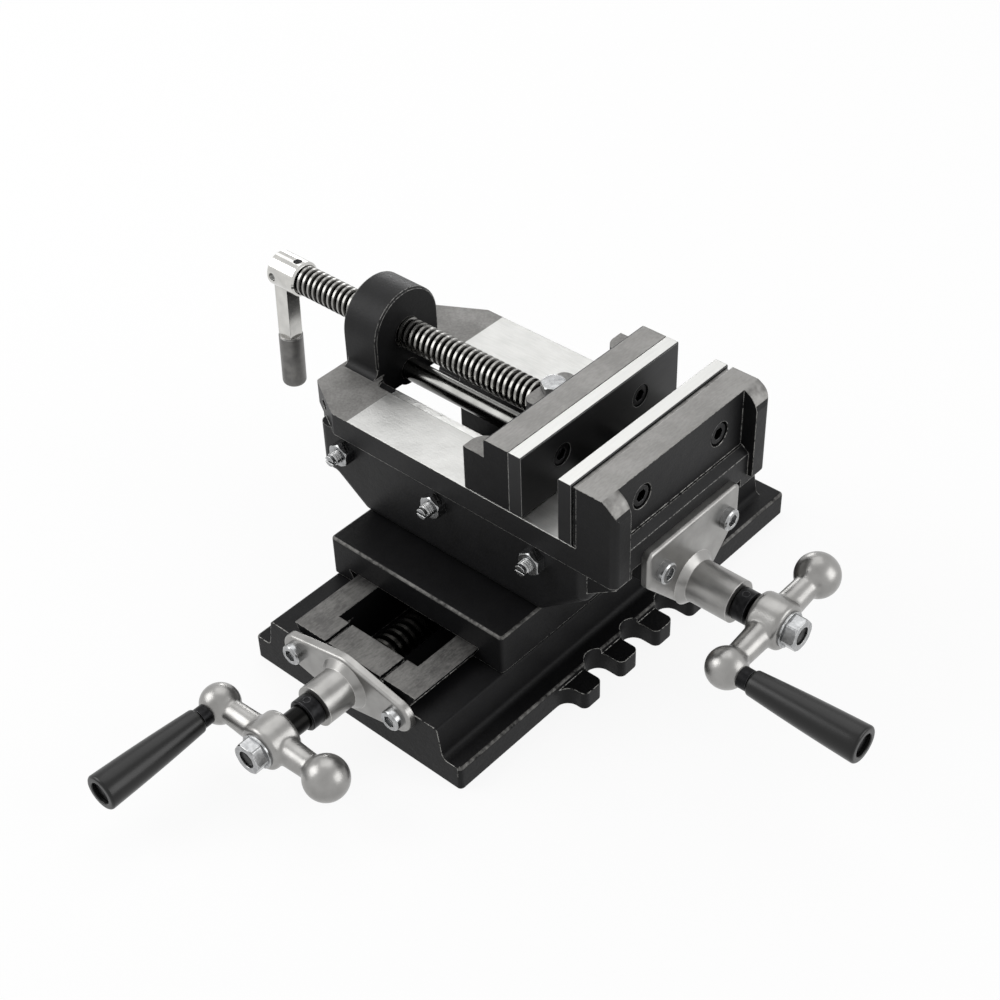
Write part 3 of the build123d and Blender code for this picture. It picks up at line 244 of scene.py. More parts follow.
def on_face(tree, face):
    """Mask that is 1 on a zone's face."""
    place = put(tree, "TexCoord")
    facing = put(tree, "SeparateXYZ", links={0: place.outputs["Normal"]})
    spot = put(tree, "SeparateXYZ", links={0: place.outputs["Object"]})
    least, most = face.slope
    limits = {"operation": "COMPARE", 1: (least + most) / 2, 2: (most - least) / 2}
    mask = put(tree, "Math", limits, {0: facing.outputs["Z"]})
    for axis, start, stop in zip("XYZ", face.low, face.high):
        if start is None:
            continue
        limits = {"operation": "COMPARE", 1: (start + stop) / 2, 2: (stop - start) / 2}
        inside = put(tree, "Math", limits, {0: spot.outputs[axis]})
        mask = put(tree, "Math", {"operation": "MULTIPLY"}, {0: mask, 1: inside})
    return mask


# Enamelled castings. The sand's grain, about 0.3 mm, and the cutter's marks, about 0.2 mm, are too fine to
# show, and are drawn about three times as coarse.

PAINT_DARK = "#0d0d0e"
PAINT_LIGHT = "#171718"
# Grey of the enamel's edges: partly iron worn through, partly a painted highlight along the edges
WORN_IRON_AND_HIGHLIGHT = "#a3a29f"
SAND_GRAIN = 0.9 * MM
CAST_WAVE = 7.0 * MM
CHIP_SIZE = 1.6 * MM
TONE_PATCH = 11.0 * MM

# Tops of the dovetail way: planed, then dulled by oil and the saddle's rubbing
PLANED_WAY = ZoneFinish("#525150", "#6e6d6b", 0.42, 0.9, 0.8 * MM, ACROSS_JAWS)
# Rims: a painted highlight along the rounded rims, drawn as short dashes of iron through the paint
RIM_HIGHLIGHT = ZoneFinish("#1a1a1a", "#6c6b69", 0.5, 0.5, 2.0 * MM, EVEN)
# Tail of the vise's slab and the jaw's ears: a painted sheen on these up-facing faces, matt and uneven grey
TOP_SHEEN_IRON = ZoneFinish("#6e6d6b", "#868583", 0.5, 0.6, 1.2 * MM, EVEN)
# Rails that the jaw slides on: milled along X, pale with fine long lines
MILLED_RAIL = ZoneFinish("#b2b2b0", "#bebebc", 0.36, 1.0, 0.6 * MM, ALONG_RAILS)
# Rebate between the rails and the fixed jaw: milled, and paler than the rails as a painted highlight
MILLED_REBATE_HIGHLIGHT = ZoneFinish("#ececea", "#f6f6f4", 0.3, 1.0, 0.6 * MM, ALONG_RAILS)
# Crowns of the fixed jaw's ribs: a painted highlight where the rounded crowns catch the light, clouded grey
CROWN_HIGHLIGHT = ZoneFinish("#605f5d", "#8c8b89", 0.45, 0.9, 3.0 * MM, EVEN)
# Tops of both jaws: a painted sheen of the light from above, drawn as mid grey iron with short marks across
JAW_TOP_SHEEN = ZoneFinish("#747371", "#848381", 0.4, 0.9, 0.8 * MM, ACROSS_JAWS)


def enamelled_iron(name, bare, gloss=0.12):
    """Black satin enamel sprayed over sand-cast iron: fine pimples and slow waves in a soft sheen, grey along
    the edges, partly worn through and partly a painted highlight, with the faces that are listed as pairs of
    a finish
    and a face: bare iron, painted highlights and painted sheen."""
    material, tree = new_material(name)
    rounded, edge = rounded_edge_mask(tree, 0.6 * MM)
    waves = mottle(tree, CAST_WAVE)
    sand = mottle(tree, SAND_GRAIN, 3.0)
    tone = put(tree, "MixRGB", {"Color1": PAINT_DARK, "Color2": PAINT_LIGHT}, {"Fac": waves})
    # Edges turn grey in chips: partly wear, partly a painted highlight along the edges
    flakes = mottle(tree, CHIP_SIZE, 4.0)
    chips = put(tree, "MapRange", {"From Min": 0.36, "From Max": 0.52}, {"Value": flakes})
    wear_and_highlight = put(tree, "Math", {"operation": "MULTIPLY"}, {0: edge, 1: chips})
    tone = put(tree, "MixRGB", {"Color2": WORN_IRON_AND_HIGHLIGHT}, {"Fac": wear_and_highlight, "Color1": tone})
    roughness = put(tree, "MapRange", {"To Min": 0.38, "To Max": 0.56}, {"Value": sand})
    metallic = put(tree, "Math", {"operation": "MULTIPLY", 1: 0.7}, {0: wear_and_highlight})
    # Zones: bare iron, and painted highlights and painted sheen drawn in tones of iron
    for iron, face in bare:
        mask = on_face(tree, face)
        marks = mottle(tree, iron.mark, 2.0, iron.stretch)
        patches = mottle(tree, TONE_PATCH, 3.0)
        both = put(tree, "Math", {"operation": "ADD"}, {0: marks, 1: patches})
        blend = put(tree, "MapRange", {"From Min": 0.75, "From Max": 1.25}, {"Value": both})
        zone_tone = put(tree, "MixRGB", {"Color1": iron.dark, "Color2": iron.light}, {"Fac": blend})
        tone = put(tree, "MixRGB", links={"Fac": mask, "Color1": tone, "Color2": zone_tone})
        limits = {"To Min": iron.roughness - 0.08, "To Max": iron.roughness + 0.12}
        zone_roughness = put(tree, "MapRange", limits, {"Value": marks})
        roughness = put(tree, "Mix", links={0: mask, 2: roughness, 3: zone_roughness})
        metal_here = put(tree, "Math", {"operation": "MULTIPLY", 1: iron.metal}, {0: mask})
        metallic = put(tree, "Math", {"operation": "MAXIMUM"}, {0: metallic, 1: metal_here})
    normal = put(tree, "Bump", {"Distance": 0.3 * MM, "Strength": 0.5}, {"Height": waves, "Normal": rounded})
    normal = put(tree, "Bump", {"Distance": 0.08 * MM, "Strength": 0.8}, {"Height": sand, "Normal": normal})
    links = {"Base Color": tone, "Roughness": roughness, "Metallic": metallic, "Normal": normal}
    surface = put(tree, "BsdfPrincipled", {"IOR": 1.5, "Specular IOR Level": gloss}, links)
    put(tree, "OutputMaterial", links={0: surface})
    return material


base_iron = enamelled_iron("enamelled_iron_base", [
    (PLANED_WAY, level_face(BASE_TOP)),
    # Painted highlight along the flange's rounded rim
    (RIM_HIGHLIGHT, rim_face(FLANGE_TOP)),
])
saddle_iron = enamelled_iron("enamelled_iron_saddle", [
    # Painted highlight along the deck's rounded rim
    (RIM_HIGHLIGHT, rim_face(SADDLE_DECK)),
])
vise_iron = enamelled_iron("enamelled_iron_vise", [
    # Painted sheen on the slab's tail
    (TOP_SHEEN_IRON, level_face(SLAB_TOP, SLAB_BACK, MILLED_START)),
    (MILLED_RAIL, level_face(SLAB_TOP, MILLED_START, MILLED_STOP)),
    # Milled rebate, drawn paler as a painted highlight
    (MILLED_REBATE_HIGHLIGHT, level_face(SLAB_REBATE, MILLED_START, MILLED_STOP)),
    # Painted highlight on the ribs' crowns
    (CROWN_HIGHLIGHT, FinishZone((MILLED_STOP, None, RIB_CROWN), (SLAB_FRONT, None, JAW_TOP), CROWNED)),
    # Painted sheen on the jaw tops
    (JAW_TOP_SHEEN, level_face(JAW_TOP)),
], gloss=0.2)
jaw_iron = enamelled_iron("enamelled_iron_jaw", [
    # Painted sheen on the jaw's ears
    (TOP_SHEEN_IRON, FinishZone((None, None, EAR_BOTTOM), (None, None, JAW_TOP - HAIR), LEVEL)),
    # Painted sheen on the jaw's top
    (JAW_TOP_SHEEN, level_face(JAW_TOP)),
])


# Cranks and brackets

def cast_steel():
    """Fine cast steel, tumbled and bead-blasted: an even satin grey with a dull glow and no lines, a little
    brighter on its edges. The blasting's dimples, about 0.15 mm, are drawn at 0.5 mm so that they show."""
    material, tree = new_material("blasted_cast_steel")
    rounded, edge = rounded_edge_mask(tree, 0.5 * MM)
    stains = mottle(tree, 9 * MM, 2.0)
    clouds = put(tree, "MapRange", {"From Min": 0.25, "From Max": 0.75}, {"Value": stains})
    dimples = mottle(tree, 0.5 * MM, 2.0)
    tone = put(tree, "MixRGB", {"Color1": "#898886", "Color2": "#a09f9d"}, {"Fac": clouds})
    rubbed = put(tree, "Math", {"operation": "MULTIPLY"}, {0: edge, 1: clouds})
    tone = put(tree, "MixRGB", {"Color2": "#d9d8d5"}, {"Fac": rubbed, "Color1": tone})
    roughness = put(tree, "MapRange", {"To Min": 0.24, "To Max": 0.38}, {"Value": dimples})
    height = {"Height": dimples, "Normal": rounded}
    normal = put(tree, "Bump", {"Distance": 0.04 * MM, "Strength": 0.45}, height)
    links = {"Base Color": tone, "Roughness": roughness, "Normal": normal}
    surface = put(tree, "BsdfPrincipled", {"Metallic": 0.85}, links)
    put(tree, "OutputMaterial", links={0: surface})
    return material


crank_steel = cast_steel()


# Jaw plates

def jaw_plate_steel():
    """Hardened jaw plate, oil-blackened: deep black with a faint sheen and grey rubbing, and a top edge
    ground bright after blackening. The grinding lines, about 0.1 mm apart, are drawn at 0.7 mm."""
    material, tree = new_material("blackened_jaw_steel")
    rounded, edge = rounded_edge_mask(tree, 0.4 * MM)
    clouds = mottle(tree, 12 * MM, 3.0)
    lines = mottle(tree, 0.7 * MM, 2.0, GROUND_ALONG_Y)
    black = put(tree, "MixRGB", {"Color1": "#171718", "Color2": "#262627"}, {"Fac": clouds})
    ground = put(tree, "MixRGB", {"Color1": "#b6b6b4", "Color2": "#c4c4c2"}, {"Fac": lines})
    top = on_face(tree, FinishZone((None, None, JAW_TOP - 2 * HAIR), (None, None, JAW_TOP + HAIR), LEVEL))
    bright = put(tree, "Math", {"operation": "MULTIPLY", 1: 0.5}, {0: edge})
    bright = put(tree, "Math", {"operation": "MAXIMUM"}, {0: top, 1: bright})
    tone = put(tree, "MixRGB", links={"Fac": bright, "Color1": black, "Color2": ground})
    roughness = put(tree, "MapRange", {"To Min": 0.3, "To Max": 0.45}, {"Value": lines})
    height = {"Height": lines, "Normal": rounded}
    normal = put(tree, "Bump", {"Distance": 0.01 * MM, "Strength": 0.4}, height)
    metallic = put(tree, "MapRange", {"To Min": 0.35, "To Max": 1.0}, {"Value": bright})
    links = {"Base Color": tone, "Roughness": roughness, "Metallic": metallic, "Normal": normal}
    surface = put(tree, "BsdfPrincipled", {"IOR": 1.5, "Specular IOR Level": 0.35}, links)
    put(tree, "OutputMaterial", links={0: surface})
    return material


jaw_steel = jaw_plate_steel()


# Threads

def thread_with_root_shade(name, centre, across, crest, depth, light, dark="#0c0c0c"):
    """Turned thread wet with oil, in patches of darker film: bright rubbed crests, and a painted shade that
    turns the roots near black. The mask runs with the distance from the screw's axis, which passes through
    centre;
    across is 1 on the two axes square to it."""
    material, tree = new_material(name)
    place = put(tree, "TexCoord")
    settings = {"operation": "SUBTRACT", 1: centre}
    offset = put(tree, "VectorMath", settings, {0: place.outputs["Object"]})
    radial = put(tree, "VectorMath", {"operation": "MULTIPLY", 1: across}, {0: offset})
    distance = put(tree, "VectorMath", {"operation": "LENGTH"}, {0: radial})
    # Painted shade: the thread darkens towards its roots
    limits = {"From Min": crest - 0.85 * depth, "From Max": crest - 0.1 * depth}
    rise = put(tree, "MapRange", limits, {"Value": distance.outputs["Value"]})
    smear = mottle(tree, 3 * MM, 3.0)
    film = put(tree, "MapRange", {"From Min": 0.4, "From Max": 0.8, "To Max": 0.45}, {"Value": smear})
    tone = put(tree, "MixRGB", {"Color1": dark, "Color2": light}, {"Fac": rise})
    tone = put(tree, "MixRGB", {"Color2": dark}, {"Fac": film, "Color1": tone})
    roughness = put(tree, "MapRange", {"To Min": 0.2, "To Max": 0.34}, {"Value": smear})
    surface = put(tree, "BsdfPrincipled", {"Metallic": 1.0}, {"Base Color": tone, "Roughness": roughness})
    put(tree, "OutputMaterial", links={0: surface})
    return material


# Lead screws: the same thread, with a crest tone far darker than the clamp screw's
DARK_LEAD_TONE = "#3a3937"
clamp_thread_steel = thread_with_root_shade("oiled_clamp_thread", CLAMP_AXIS, (0, 1, 1), CLAMP_CREST, CLAMP_THREAD,
                                  "#92918e", "#100f0f")
cross_thread_steel = thread_with_root_shade("oiled_cross_thread", CROSS_AXIS, (1, 0, 1), LEAD_CREST, LEAD_THREAD,
                                  DARK_LEAD_TONE)
long_thread_steel = thread_with_root_shade("oiled_long_thread", LONG_AXIS, (0, 1, 1), LEAD_CREST, LEAD_THREAD,
                                 DARK_LEAD_TONE)


# Rods, gibs, fastenings and handle. Their tool marks and plating grain, about 0.1 mm, are drawn at 0.4 to
# 0.5 mm.

def bare_metal(name, dark, light, roughness, spot, mark, stretch=EVEN, depth=0.02 * MM,
               rubbed_tone="#e4e4e2"):
    """A bare or plated metal: two tones in soft spots, tool marks of a given size and lie, and edges
    polished by handling."""
    material, tree = new_material(name)
    rounded, edge = rounded_edge_mask(tree, 0.4 * MM)
    blotches = mottle(tree, spot, 3.0)
    spots = put(tree, "MapRange", {"From Min": 0.3, "From Max": 0.7}, {"Value": blotches})
    marks = mottle(tree, mark, 2.0, stretch)
    tone = put(tree, "MixRGB", {"Color1": dark, "Color2": light}, {"Fac": spots})
    rubbed = put(tree, "Math", {"operation": "MULTIPLY"}, {0: edge, 1: marks})
    tone = put(tree, "MixRGB", {"Color2": rubbed_tone}, {"Fac": rubbed, "Color1": tone})
    limits = {"To Min": roughness * 0.7, "To Max": roughness * 1.3}
    worn_roughness = put(tree, "MapRange", limits, {"Value": marks})
    height = {"Height": marks, "Normal": rounded}
    normal = put(tree, "Bump", {"Distance": depth, "Strength": 0.5}, height)
    links = {"Base Color": tone, "Roughness": worn_roughness, "Normal": normal}
    surface = put(tree, "BsdfPrincipled", {"Metallic": 1.0}, links)
    put(tree, "OutputMaterial", links={0: surface})
    return material


# Guide rod: centreless-ground steel under a film of oil, dark and glossy with thin lines along it
rod_steel = bare_metal("ground_rod_steel", "#5a5a58", "#70706e", 0.18, 8 * MM, 0.5 * MM, GROUND_ALONG_X)
# Gibs: surface-ground flat bar, a plain mid grey with long fine lines
gib_steel = bare_metal("ground_gib_steel", "#8a8a88", "#a4a4a2", 0.3, 8 * MM, 0.5 * MM, GROUND_ALONG_X)
# Bolts, nuts and washers: bright zinc plate, blotchy and cool, with sharp glints on the hexagons
zinc = bare_metal("zinc_plated_steel", "#8a8b8c", "#acadae", 0.22, 2 * MM, 0.4 * MM)
# Collars, pins and socket screws: black oxide under oil, nearly black with greyed edges
black_oxide = bare_metal("black_oxide_steel", "#161617", "#242425", 0.36, 2 * MM, 0.4 * MM,
                         rubbed_tone="#6c6c6e")
# Clamp screw's head and handle bar: nickel plate over polished steel, almost a mirror
nickel = bare_metal("polished_nickel_plate", "#bdbcb9", "#cfceca", 0.12, 6 * MM, 0.5 * MM,
                    depth=0.005 * MM)
# Handle's sleeve: turned steel left from the lathe, dull mid grey
sleeve_steel = bare_metal("turned_sleeve_steel", "#626160", "#747371", 0.36, 4 * MM, 0.5 * MM,
                          TURNED_ALONG_Z)
# Nuts under the slides: sand-cast bronze, brown-gold and dull
bronze = bare_metal("cast_bronze", "#8a6434", "#a57c43", 0.35, 3 * MM, 0.5 * MM)


# Grips

def moulded_phenolic():
    """Black phenolic, compression moulded: glossy with a broad soft highlight, a faint texture, and duller
    patches where the hand turns it. The texture, about 0.1 mm, is drawn at 0.45 mm."""
    material, tree = new_material("moulded_phenolic")
    rounded, edge = rounded_edge_mask(tree, 0.4 * MM)
    texture = mottle(tree, 0.45 * MM, 2.0)
    hands = mottle(tree, 14 * MM, 2.0)
    tone = put(tree, "MixRGB", {"Color1": "#060606", "Color2": "#0c0c0c"}, {"Fac": hands})
    rubbed = put(tree, "Math", {"operation": "MULTIPLY", 1: 0.3}, {0: edge})
    tone = put(tree, "MixRGB", {"Color2": "#4a4a4a"}, {"Fac": rubbed, "Color1": tone})
    roughness = put(tree, "MapRange", {"To Min": 0.22, "To Max": 0.4}, {"Value": hands})
    height = {"Height": texture, "Normal": rounded}
    normal = put(tree, "Bump", {"Distance": 0.02 * MM, "Strength": 0.4}, height)
    links = {"Base Color": tone, "Roughness": roughness, "Normal": normal}
    surface = put(tree, "BsdfPrincipled", {"IOR": 1.55, "Specular IOR Level": 0.3}, links)
    put(tree, "OutputMaterial", links={0: surface})
    return material


phenolic = moulded_phenolic()


def dress_nodes():
    """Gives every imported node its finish. The nodes that aren't named here are black oxide."""
    finishes = {
        "base_casting": base_iron,
        "saddle_casting": saddle_iron,
        "vise_casting": vise_iron,
        "movable_jaw": jaw_iron,
        "cross_bracket": crank_steel,
        "long_bracket": crank_steel,
        "cross_crank": crank_steel,
        "long_crank": crank_steel,
        "fixed_jaw_plate": jaw_steel,
        "movable_jaw_plate": jaw_steel,
        "guide_rod": rod_steel,
        "cross_gib": gib_steel,
        "long_gib": gib_steel,
        "clamp_screw": clamp_thread_steel,
        "cross_lead_screw": cross_thread_steel,
        "long_lead_screw": long_thread_steel,
        "clamp_head": nickel,
        "handle_bar": nickel,
        "handle_sleeve": sleeve_steel,
        "cross_nut": bronze,
        "long_nut": bronze,
        "cross_grip": phenolic,
        "long_grip": phenolic,
        "retaining_bolt": zinc,
        "handle_pivot": zinc,
    }
    for side in ("cross", "long"):
        for fastening in ("bracket_screws", "gib_screws", "gib_nuts", "crank_washer", "crank_nut"):
            finishes[side + "_" + fastening] = zinc
    for name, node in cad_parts.items():
        finish = finishes.get(name, black_oxide)
        if not node.material_slots:
            node.data.materials.append(finish)
        for slot in node.material_slots:
            slot.material = finish


# Mesh helpers. Round forms are drawn along +X about the origin and then turned to their place.

def new_piece(name, mesh_maker, place, material, body, stands_for):
    """Makes an object from a bmesh, puts it in its place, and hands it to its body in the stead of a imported
    node."""
    form = bmesh.new()
    mesh_maker(form)
    bmesh.ops.remove_doubles(form, verts=form.verts, dist=WELD)
    bmesh.ops.dissolve_degenerate(form, edges=form.edges, dist=WELD)
    bmesh.ops.recalc_face_normals(form, faces=form.faces)
    bmesh.ops.transform(form, matrix=place, verts=form.verts)
    mesh = bpy.data.meshes.new(name)
    form.to_mesh(mesh)
    form.free()
    piece = bpy.data.objects.new(name, mesh)
    bpy.context.scene.collection.objects.link(piece)
    mesh.materials.append(material)
    mesh.shade_smooth()
    mesh.set_sharp_from_angle(angle=SHARP_ANGLE)
    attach(piece, body)
    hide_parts(stands_for)
    return piece


def pointing(direction, origin):
    """Matrix that turns +X to a direction and moves it to a place."""
    turn = Vector((1, 0, 0)).rotation_difference(Vector(direction)).to_matrix().to_4x4()
    return Matrix.Translation(origin) @ turn


def arc(centre, radius, start, stop, steps):
    """Points of an arc in the plane of a profile, with angles from the +X axis."""
    turns = [start + (stop - start) * step / steps for step in range(steps + 1)]
    return [(centre[0] + radius * math.cos(turn), centre[1] + radius * math.sin(turn)) for turn in turns]


def lathe(form, profile, place=None, segments=LATHE_SEGMENTS):
    """Turns a profile of (x, radius) points about the X axis; points with no radius close it."""
    turns = [2 * math.pi * step / segments for step in range(segments)]
    rings = []
    for x, radius in profile:
        if radius < WELD:
            ring = [(x, 0, 0)]
        else:
            ring = [(x, radius * math.cos(turn), radius * math.sin(turn)) for turn in turns]
        rings.append([form.verts.new(point) for point in ring])
    for near, far in zip(rings, rings[1:]):
        for step in range(segments):
            after = (step + 1) % segments
            edge = [near[step % len(near)], near[after % len(near)]]
            opposite = [far[after % len(far)], far[step % len(far)]]
            corners = list(dict.fromkeys(edge + opposite))
            if len(corners) > 2:
                form.faces.new(corners)
    if place is not None:
        bmesh.ops.transform(form, matrix=place, verts=[vertex for ring in rings for vertex in ring])


def plain_rod(form, start, stop, radius):
    """A plain cylinder between two places on the X axis."""
    lathe(form, [(start, 0), (start, radius), (stop, radius), (stop, 0)])


def helix(form, start, stop, crest, pitch, depth, place=None, segments=SCREW_SEGMENTS):
    """A screw thread between two places on the X axis, closed with a flat disc at each end."""
    root = crest - depth
    offsets = (0, CREST_SHARE, CREST_SHARE + FLANK_SHARE, 1 - FLANK_SHARE)
    radii = (crest, crest, root, root)
    per_turn = len(offsets)
    turns = math.ceil((stop - start) / pitch) + 2
    rows = []
    for line in range(turns * per_turn + 1):
        turn, point = divmod(line, per_turn)
        row = []
        for step in range(segments):
            x = start + (turn - 1 + offsets[point] + step / segments) * pitch
            radius = radii[point] if start < x < stop else root
            angle = 2 * math.pi * step / segments
            x = min(max(x, start), stop)
            row.append(form.verts.new((x, radius * math.cos(angle), radius * math.sin(angle))))
        rows.append(row)
    for line in range(len(rows) - 1):
        for step in range(segments):
            if step + 1 < segments:
                far = (rows[line][step + 1], rows[line + 1][step + 1])
            elif line + 1 + per_turn < len(rows):
                far = (rows[line + per_turn][0], rows[line + 1 + per_turn][0])
            else:
                continue
            form.faces.new((rows[line][step], rows[line + 1][step], far[1], far[0]))
    if place is not None:
        bmesh.ops.transform(form, matrix=place, verts=[vertex for row in rows for vertex in row])
    for x in (start, stop):
        lathe(form, [(x, 0), (x, root)], place, segments)


# Screws

def clamp_screw():
    """Clamp screw with its thread, the grooved journal in the jaw and the stub in the head."""
    low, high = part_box("clamp_screw")
    bolt = node_centre("retaining_bolt").x
    thread_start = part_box("clamp_head")[1].x
    thread_stop = high.x - JOURNAL_LENGTH

    def shape(form):
        helix(form, thread_start, thread_stop, CLAMP_CREST, CLAMP_PITCH, CLAMP_THREAD)
        plain_rod(form, low.x, thread_start + OVERLAP, JOURNAL_RADIUS)
        lathe(form, [
            (thread_stop - OVERLAP, 0),
            (thread_stop - OVERLAP, JOURNAL_RADIUS),
            (bolt - GROOVE_HALF, JOURNAL_RADIUS),
            (bolt - GROOVE_HALF, GROOVE_RADIUS),
            (bolt + GROOVE_HALF, GROOVE_RADIUS),
            (bolt + GROOVE_HALF, JOURNAL_RADIUS),
            (high.x, JOURNAL_RADIUS),
            (high.x, 0),
        ])

    place = Matrix.Translation((0, CLAMP_AXIS.y, CLAMP_AXIS.z))
    new_piece("threaded_clamp_screw", shape, place, clamp_thread_steel, "clamp_spindle",
              "clamp_screw")


def lead_screw(side, far, shoulder, hub, tail, place, finish):
    """Lead screw: a long thread from its far end to its shoulder, the plain axle into the crank's hub, and
    the threaded end under the crank's nut. All four places lie along the screw's own axis."""
    def shape(form):
        helix(form, far, shoulder, LEAD_CREST, LEAD_PITCH, LEAD_THREAD)
        plain_rod(form, shoulder - OVERLAP, hub, AXLE_RADIUS)
        helix(form, hub, tail, END_RADIUS, END_PITCH, END_THREAD)

    new_piece("threaded_" + side + "_screw", shape, place, finish, side + "_screw",
              side + "_lead_screw")


def lead_screws():
    """The cross screw points towards -Y and the long screw towards +X, each out of its bracket."""
    low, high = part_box("cross_lead_screw")
    shoulder = -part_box("cross_bracket")[1].y - HAIR
    hub = -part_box("cross_crank_washer")[1].y - HUB_HALF
    place = pointing((0, -1, 0), (CROSS_AXIS.x, 0, CROSS_AXIS.z))
    lead_screw("cross", -high.y, shoulder, hub, -low.y, place, cross_thread_steel)
    low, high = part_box("long_lead_screw")
    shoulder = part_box("long_bracket")[0].x - HAIR
    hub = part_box("long_crank_washer")[0].x - HUB_HALF
    place = pointing((1, 0, 0), (0, LONG_AXIS.y, LONG_AXIS.z))
    lead_screw("long", low.x, shoulder, hub, high.x, place, long_thread_steel)


def slotted_screw(form, length, radius, pitch, place):
    """A threaded screw from the origin along +X, with a screwdriver slot across its outer end."""
    slot_half = radius * SLOT_SHARE
    slot_start = length - radius * SLOT_DEPTH_SHARE
    root = radius * GIB_ROOT_SHARE
    helix(form, 0, slot_start, radius, pitch, radius - root, place, GIB_SCREW_SEGMENTS)
    edge = math.asin(slot_half / root)
    for side in (0, math.pi):
        rim = arc((0, 0), root, side + edge, side + math.pi - edge, SLOT_STEPS)
        near = [form.verts.new((slot_start, y, z)) for y, z in rim]
        far = [form.verts.new((length, y, z)) for y, z in rim]
        form.faces.new(near)
        form.faces.new(far)
        for step in range(len(rim)):
            after = (step + 1) % len(rim)
            form.faces.new((near[step], near[after], far[after], far[step]))
        bmesh.ops.transform(form, matrix=place, verts=near + far)


def gib_screws(side, body, run, out, pitch):
    """The three slotted screws that press a gib. They stand in a row along the axis run and point down the
    axis out, where 0 is X and 1 is Y."""
    node = side + "_gib_screws"
    low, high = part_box(node)
    middle = node_centre(node)
    radius = node_radius(node)
    direction = Vector((0, 0, 0))
    direction[out] = -1

    def shape(form):
        for spot in (low[run] + radius, middle[run], high[run] - radius):
            tip = Vector(middle)
            tip[run] = spot
            tip[out] = high[out]
            slotted_screw(form, high[out] - low[out], radius, pitch, pointing(direction, tip))

    new_piece("threaded_" + node, shape, Matrix.Identity(4), zinc, body, node)


# Cranks and grips

def ball(radius, flat=None):
    """Profile of a ball about the origin, cut flat on its +X side where a flat is given."""
    stop = 0 if flat is None else math.acos(flat / radius)
    points = [(x, max(0, height)) for x, height in arc((0, 0), radius, math.pi, stop, BALL_STEPS)]
    return points if flat is None else points + [(flat, 0)]


def crank_casting(form):
    """Hub along X, arms along Y, the handle ball on the -Y side and the larger ball on the +Y side."""
    rim = HUB_HALF - HUB_EDGE
    hub = [(-HUB_HALF, 0)]
    hub += arc((-rim, HUB_RADIUS - HUB_EDGE), HUB_EDGE, math.pi, math.pi / 2, EDGE_STEPS)
    hub += arc((rim, HUB_RADIUS - HUB_EDGE), HUB_EDGE, math.pi / 2, 0, EDGE_STEPS)
    hub += [(HUB_HALF, 0)]
    lathe(form, hub)
    for side in (-1, 1):
        arm = [(0, 0), (0, ARM_ROOT), (ARM_LENGTH, ARM_TIP), (ARM_LENGTH, 0)]
        lathe(form, arm, pointing((0, side, 0), (0, 0, 0)))
    lathe(form, ball(HANDLE_BALL, BALL_FLAT), Matrix.Translation((0, -ARM_LENGTH, 0)))
    lathe(form, ball(COUNTER_BALL), Matrix.Translation((0, ARM_LENGTH, 0)))


def crank(side, place):
    """One crank: its forms are melted into a single casting with soft hollows where they meet."""
    name = side + "_crank"
    piece = new_piece("cast_" + name, crank_casting, place, crank_steel, side + "_screw", name)
    melt = piece.modifiers.new("melt", "REMESH")
    melt.mode = "VOXEL"
    melt.voxel_size = CAST_VOXEL
    soften = piece.modifiers.new("soften", "SMOOTH")
    soften.factor = 0.5
    soften.iterations = CAST_SMOOTHING
    bpy.context.view_layer.update()
    shaped = piece.evaluated_get(bpy.context.evaluated_depsgraph_get())
    mesh = bpy.data.meshes.new_from_object(shaped)
    piece.modifiers.clear()
    piece.data = mesh
    mesh.shade_smooth()


def grip(side, start, length, place):
    """Tapered grip from its root to its thicker outer end, slightly crowned, with a recess for the stud's
    head."""
    stop = start + length
    flank = []
    for step in range(GRIP_STEPS + 1):
        share = step / GRIP_STEPS
        x = start + GRIP_EDGE + (length - 2 * GRIP_EDGE) * share
        taper = GRIP_ROOT + (GRIP_END - GRIP_CROWN - GRIP_ROOT) * share
        flank.append((x, taper + GRIP_CROWN * math.sin(math.pi * share)))
    near = (start + GRIP_EDGE, GRIP_ROOT - GRIP_EDGE)
    far = (stop - GRIP_EDGE, flank[-1][1] - GRIP_EDGE)
    root_corner = arc(near, GRIP_EDGE, math.pi, math.pi / 2, EDGE_STEPS)
    end_corner = arc(far, GRIP_EDGE, math.pi / 2, 0, EDGE_STEPS)
    profile = [
        (start, GRIP_BORE),
        *root_corner[:-1],
        *flank,
        *end_corner[1:],
        (stop, GRIP_RECESS_RADIUS + GRIP_RECESS_CHAMFER),
        (stop - GRIP_RECESS_CHAMFER, GRIP_RECESS_RADIUS),
        (stop - GRIP_RECESS, GRIP_RECESS_RADIUS),
        (stop - GRIP_RECESS, GRIP_BORE),
        (start, GRIP_BORE),
    ]

    def shape(form):
        lathe(form, profile, segments=GRIP_SEGMENTS)

    name = side + "_grip"
    new_piece("moulded_" + name, shape, place, phenolic, name + "_unit", name)


def crank_and_grip(side, hub, turn, start, length):
    """The crank of one screw, with the middle of its hub at a place, and its grip, which starts some way out
    along the screw."""
    place = Matrix.Translation(hub) @ turn
    crank(side, place)
    grip(side, start, length, place @ Matrix.Translation((0, -ARM_LENGTH, 0)))


def cranks_and_grips():
    """The cross crank faces -Y and the long crank +X, each with its hub against its washer."""
    low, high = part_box("cross_grip")
    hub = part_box("cross_crank_washer")[1].y + HUB_HALF
    turn = Matrix.Rotation(-math.pi / 2, 4, "Z")
    crank_and_grip("cross", (CROSS_AXIS.x, hub, CROSS_AXIS.z), turn, hub - high.y, high.y - low.y)
    low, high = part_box("long_grip")
    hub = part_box("long_crank_washer")[0].x - HUB_HALF
    turn = Matrix.Rotation(CRANK_TILT, 4, "X")
    crank_and_grip("long", (hub, LONG_AXIS.y, LONG_AXIS.z), turn, low.x - hub, high.x - low.x)


# Floor, light and camera

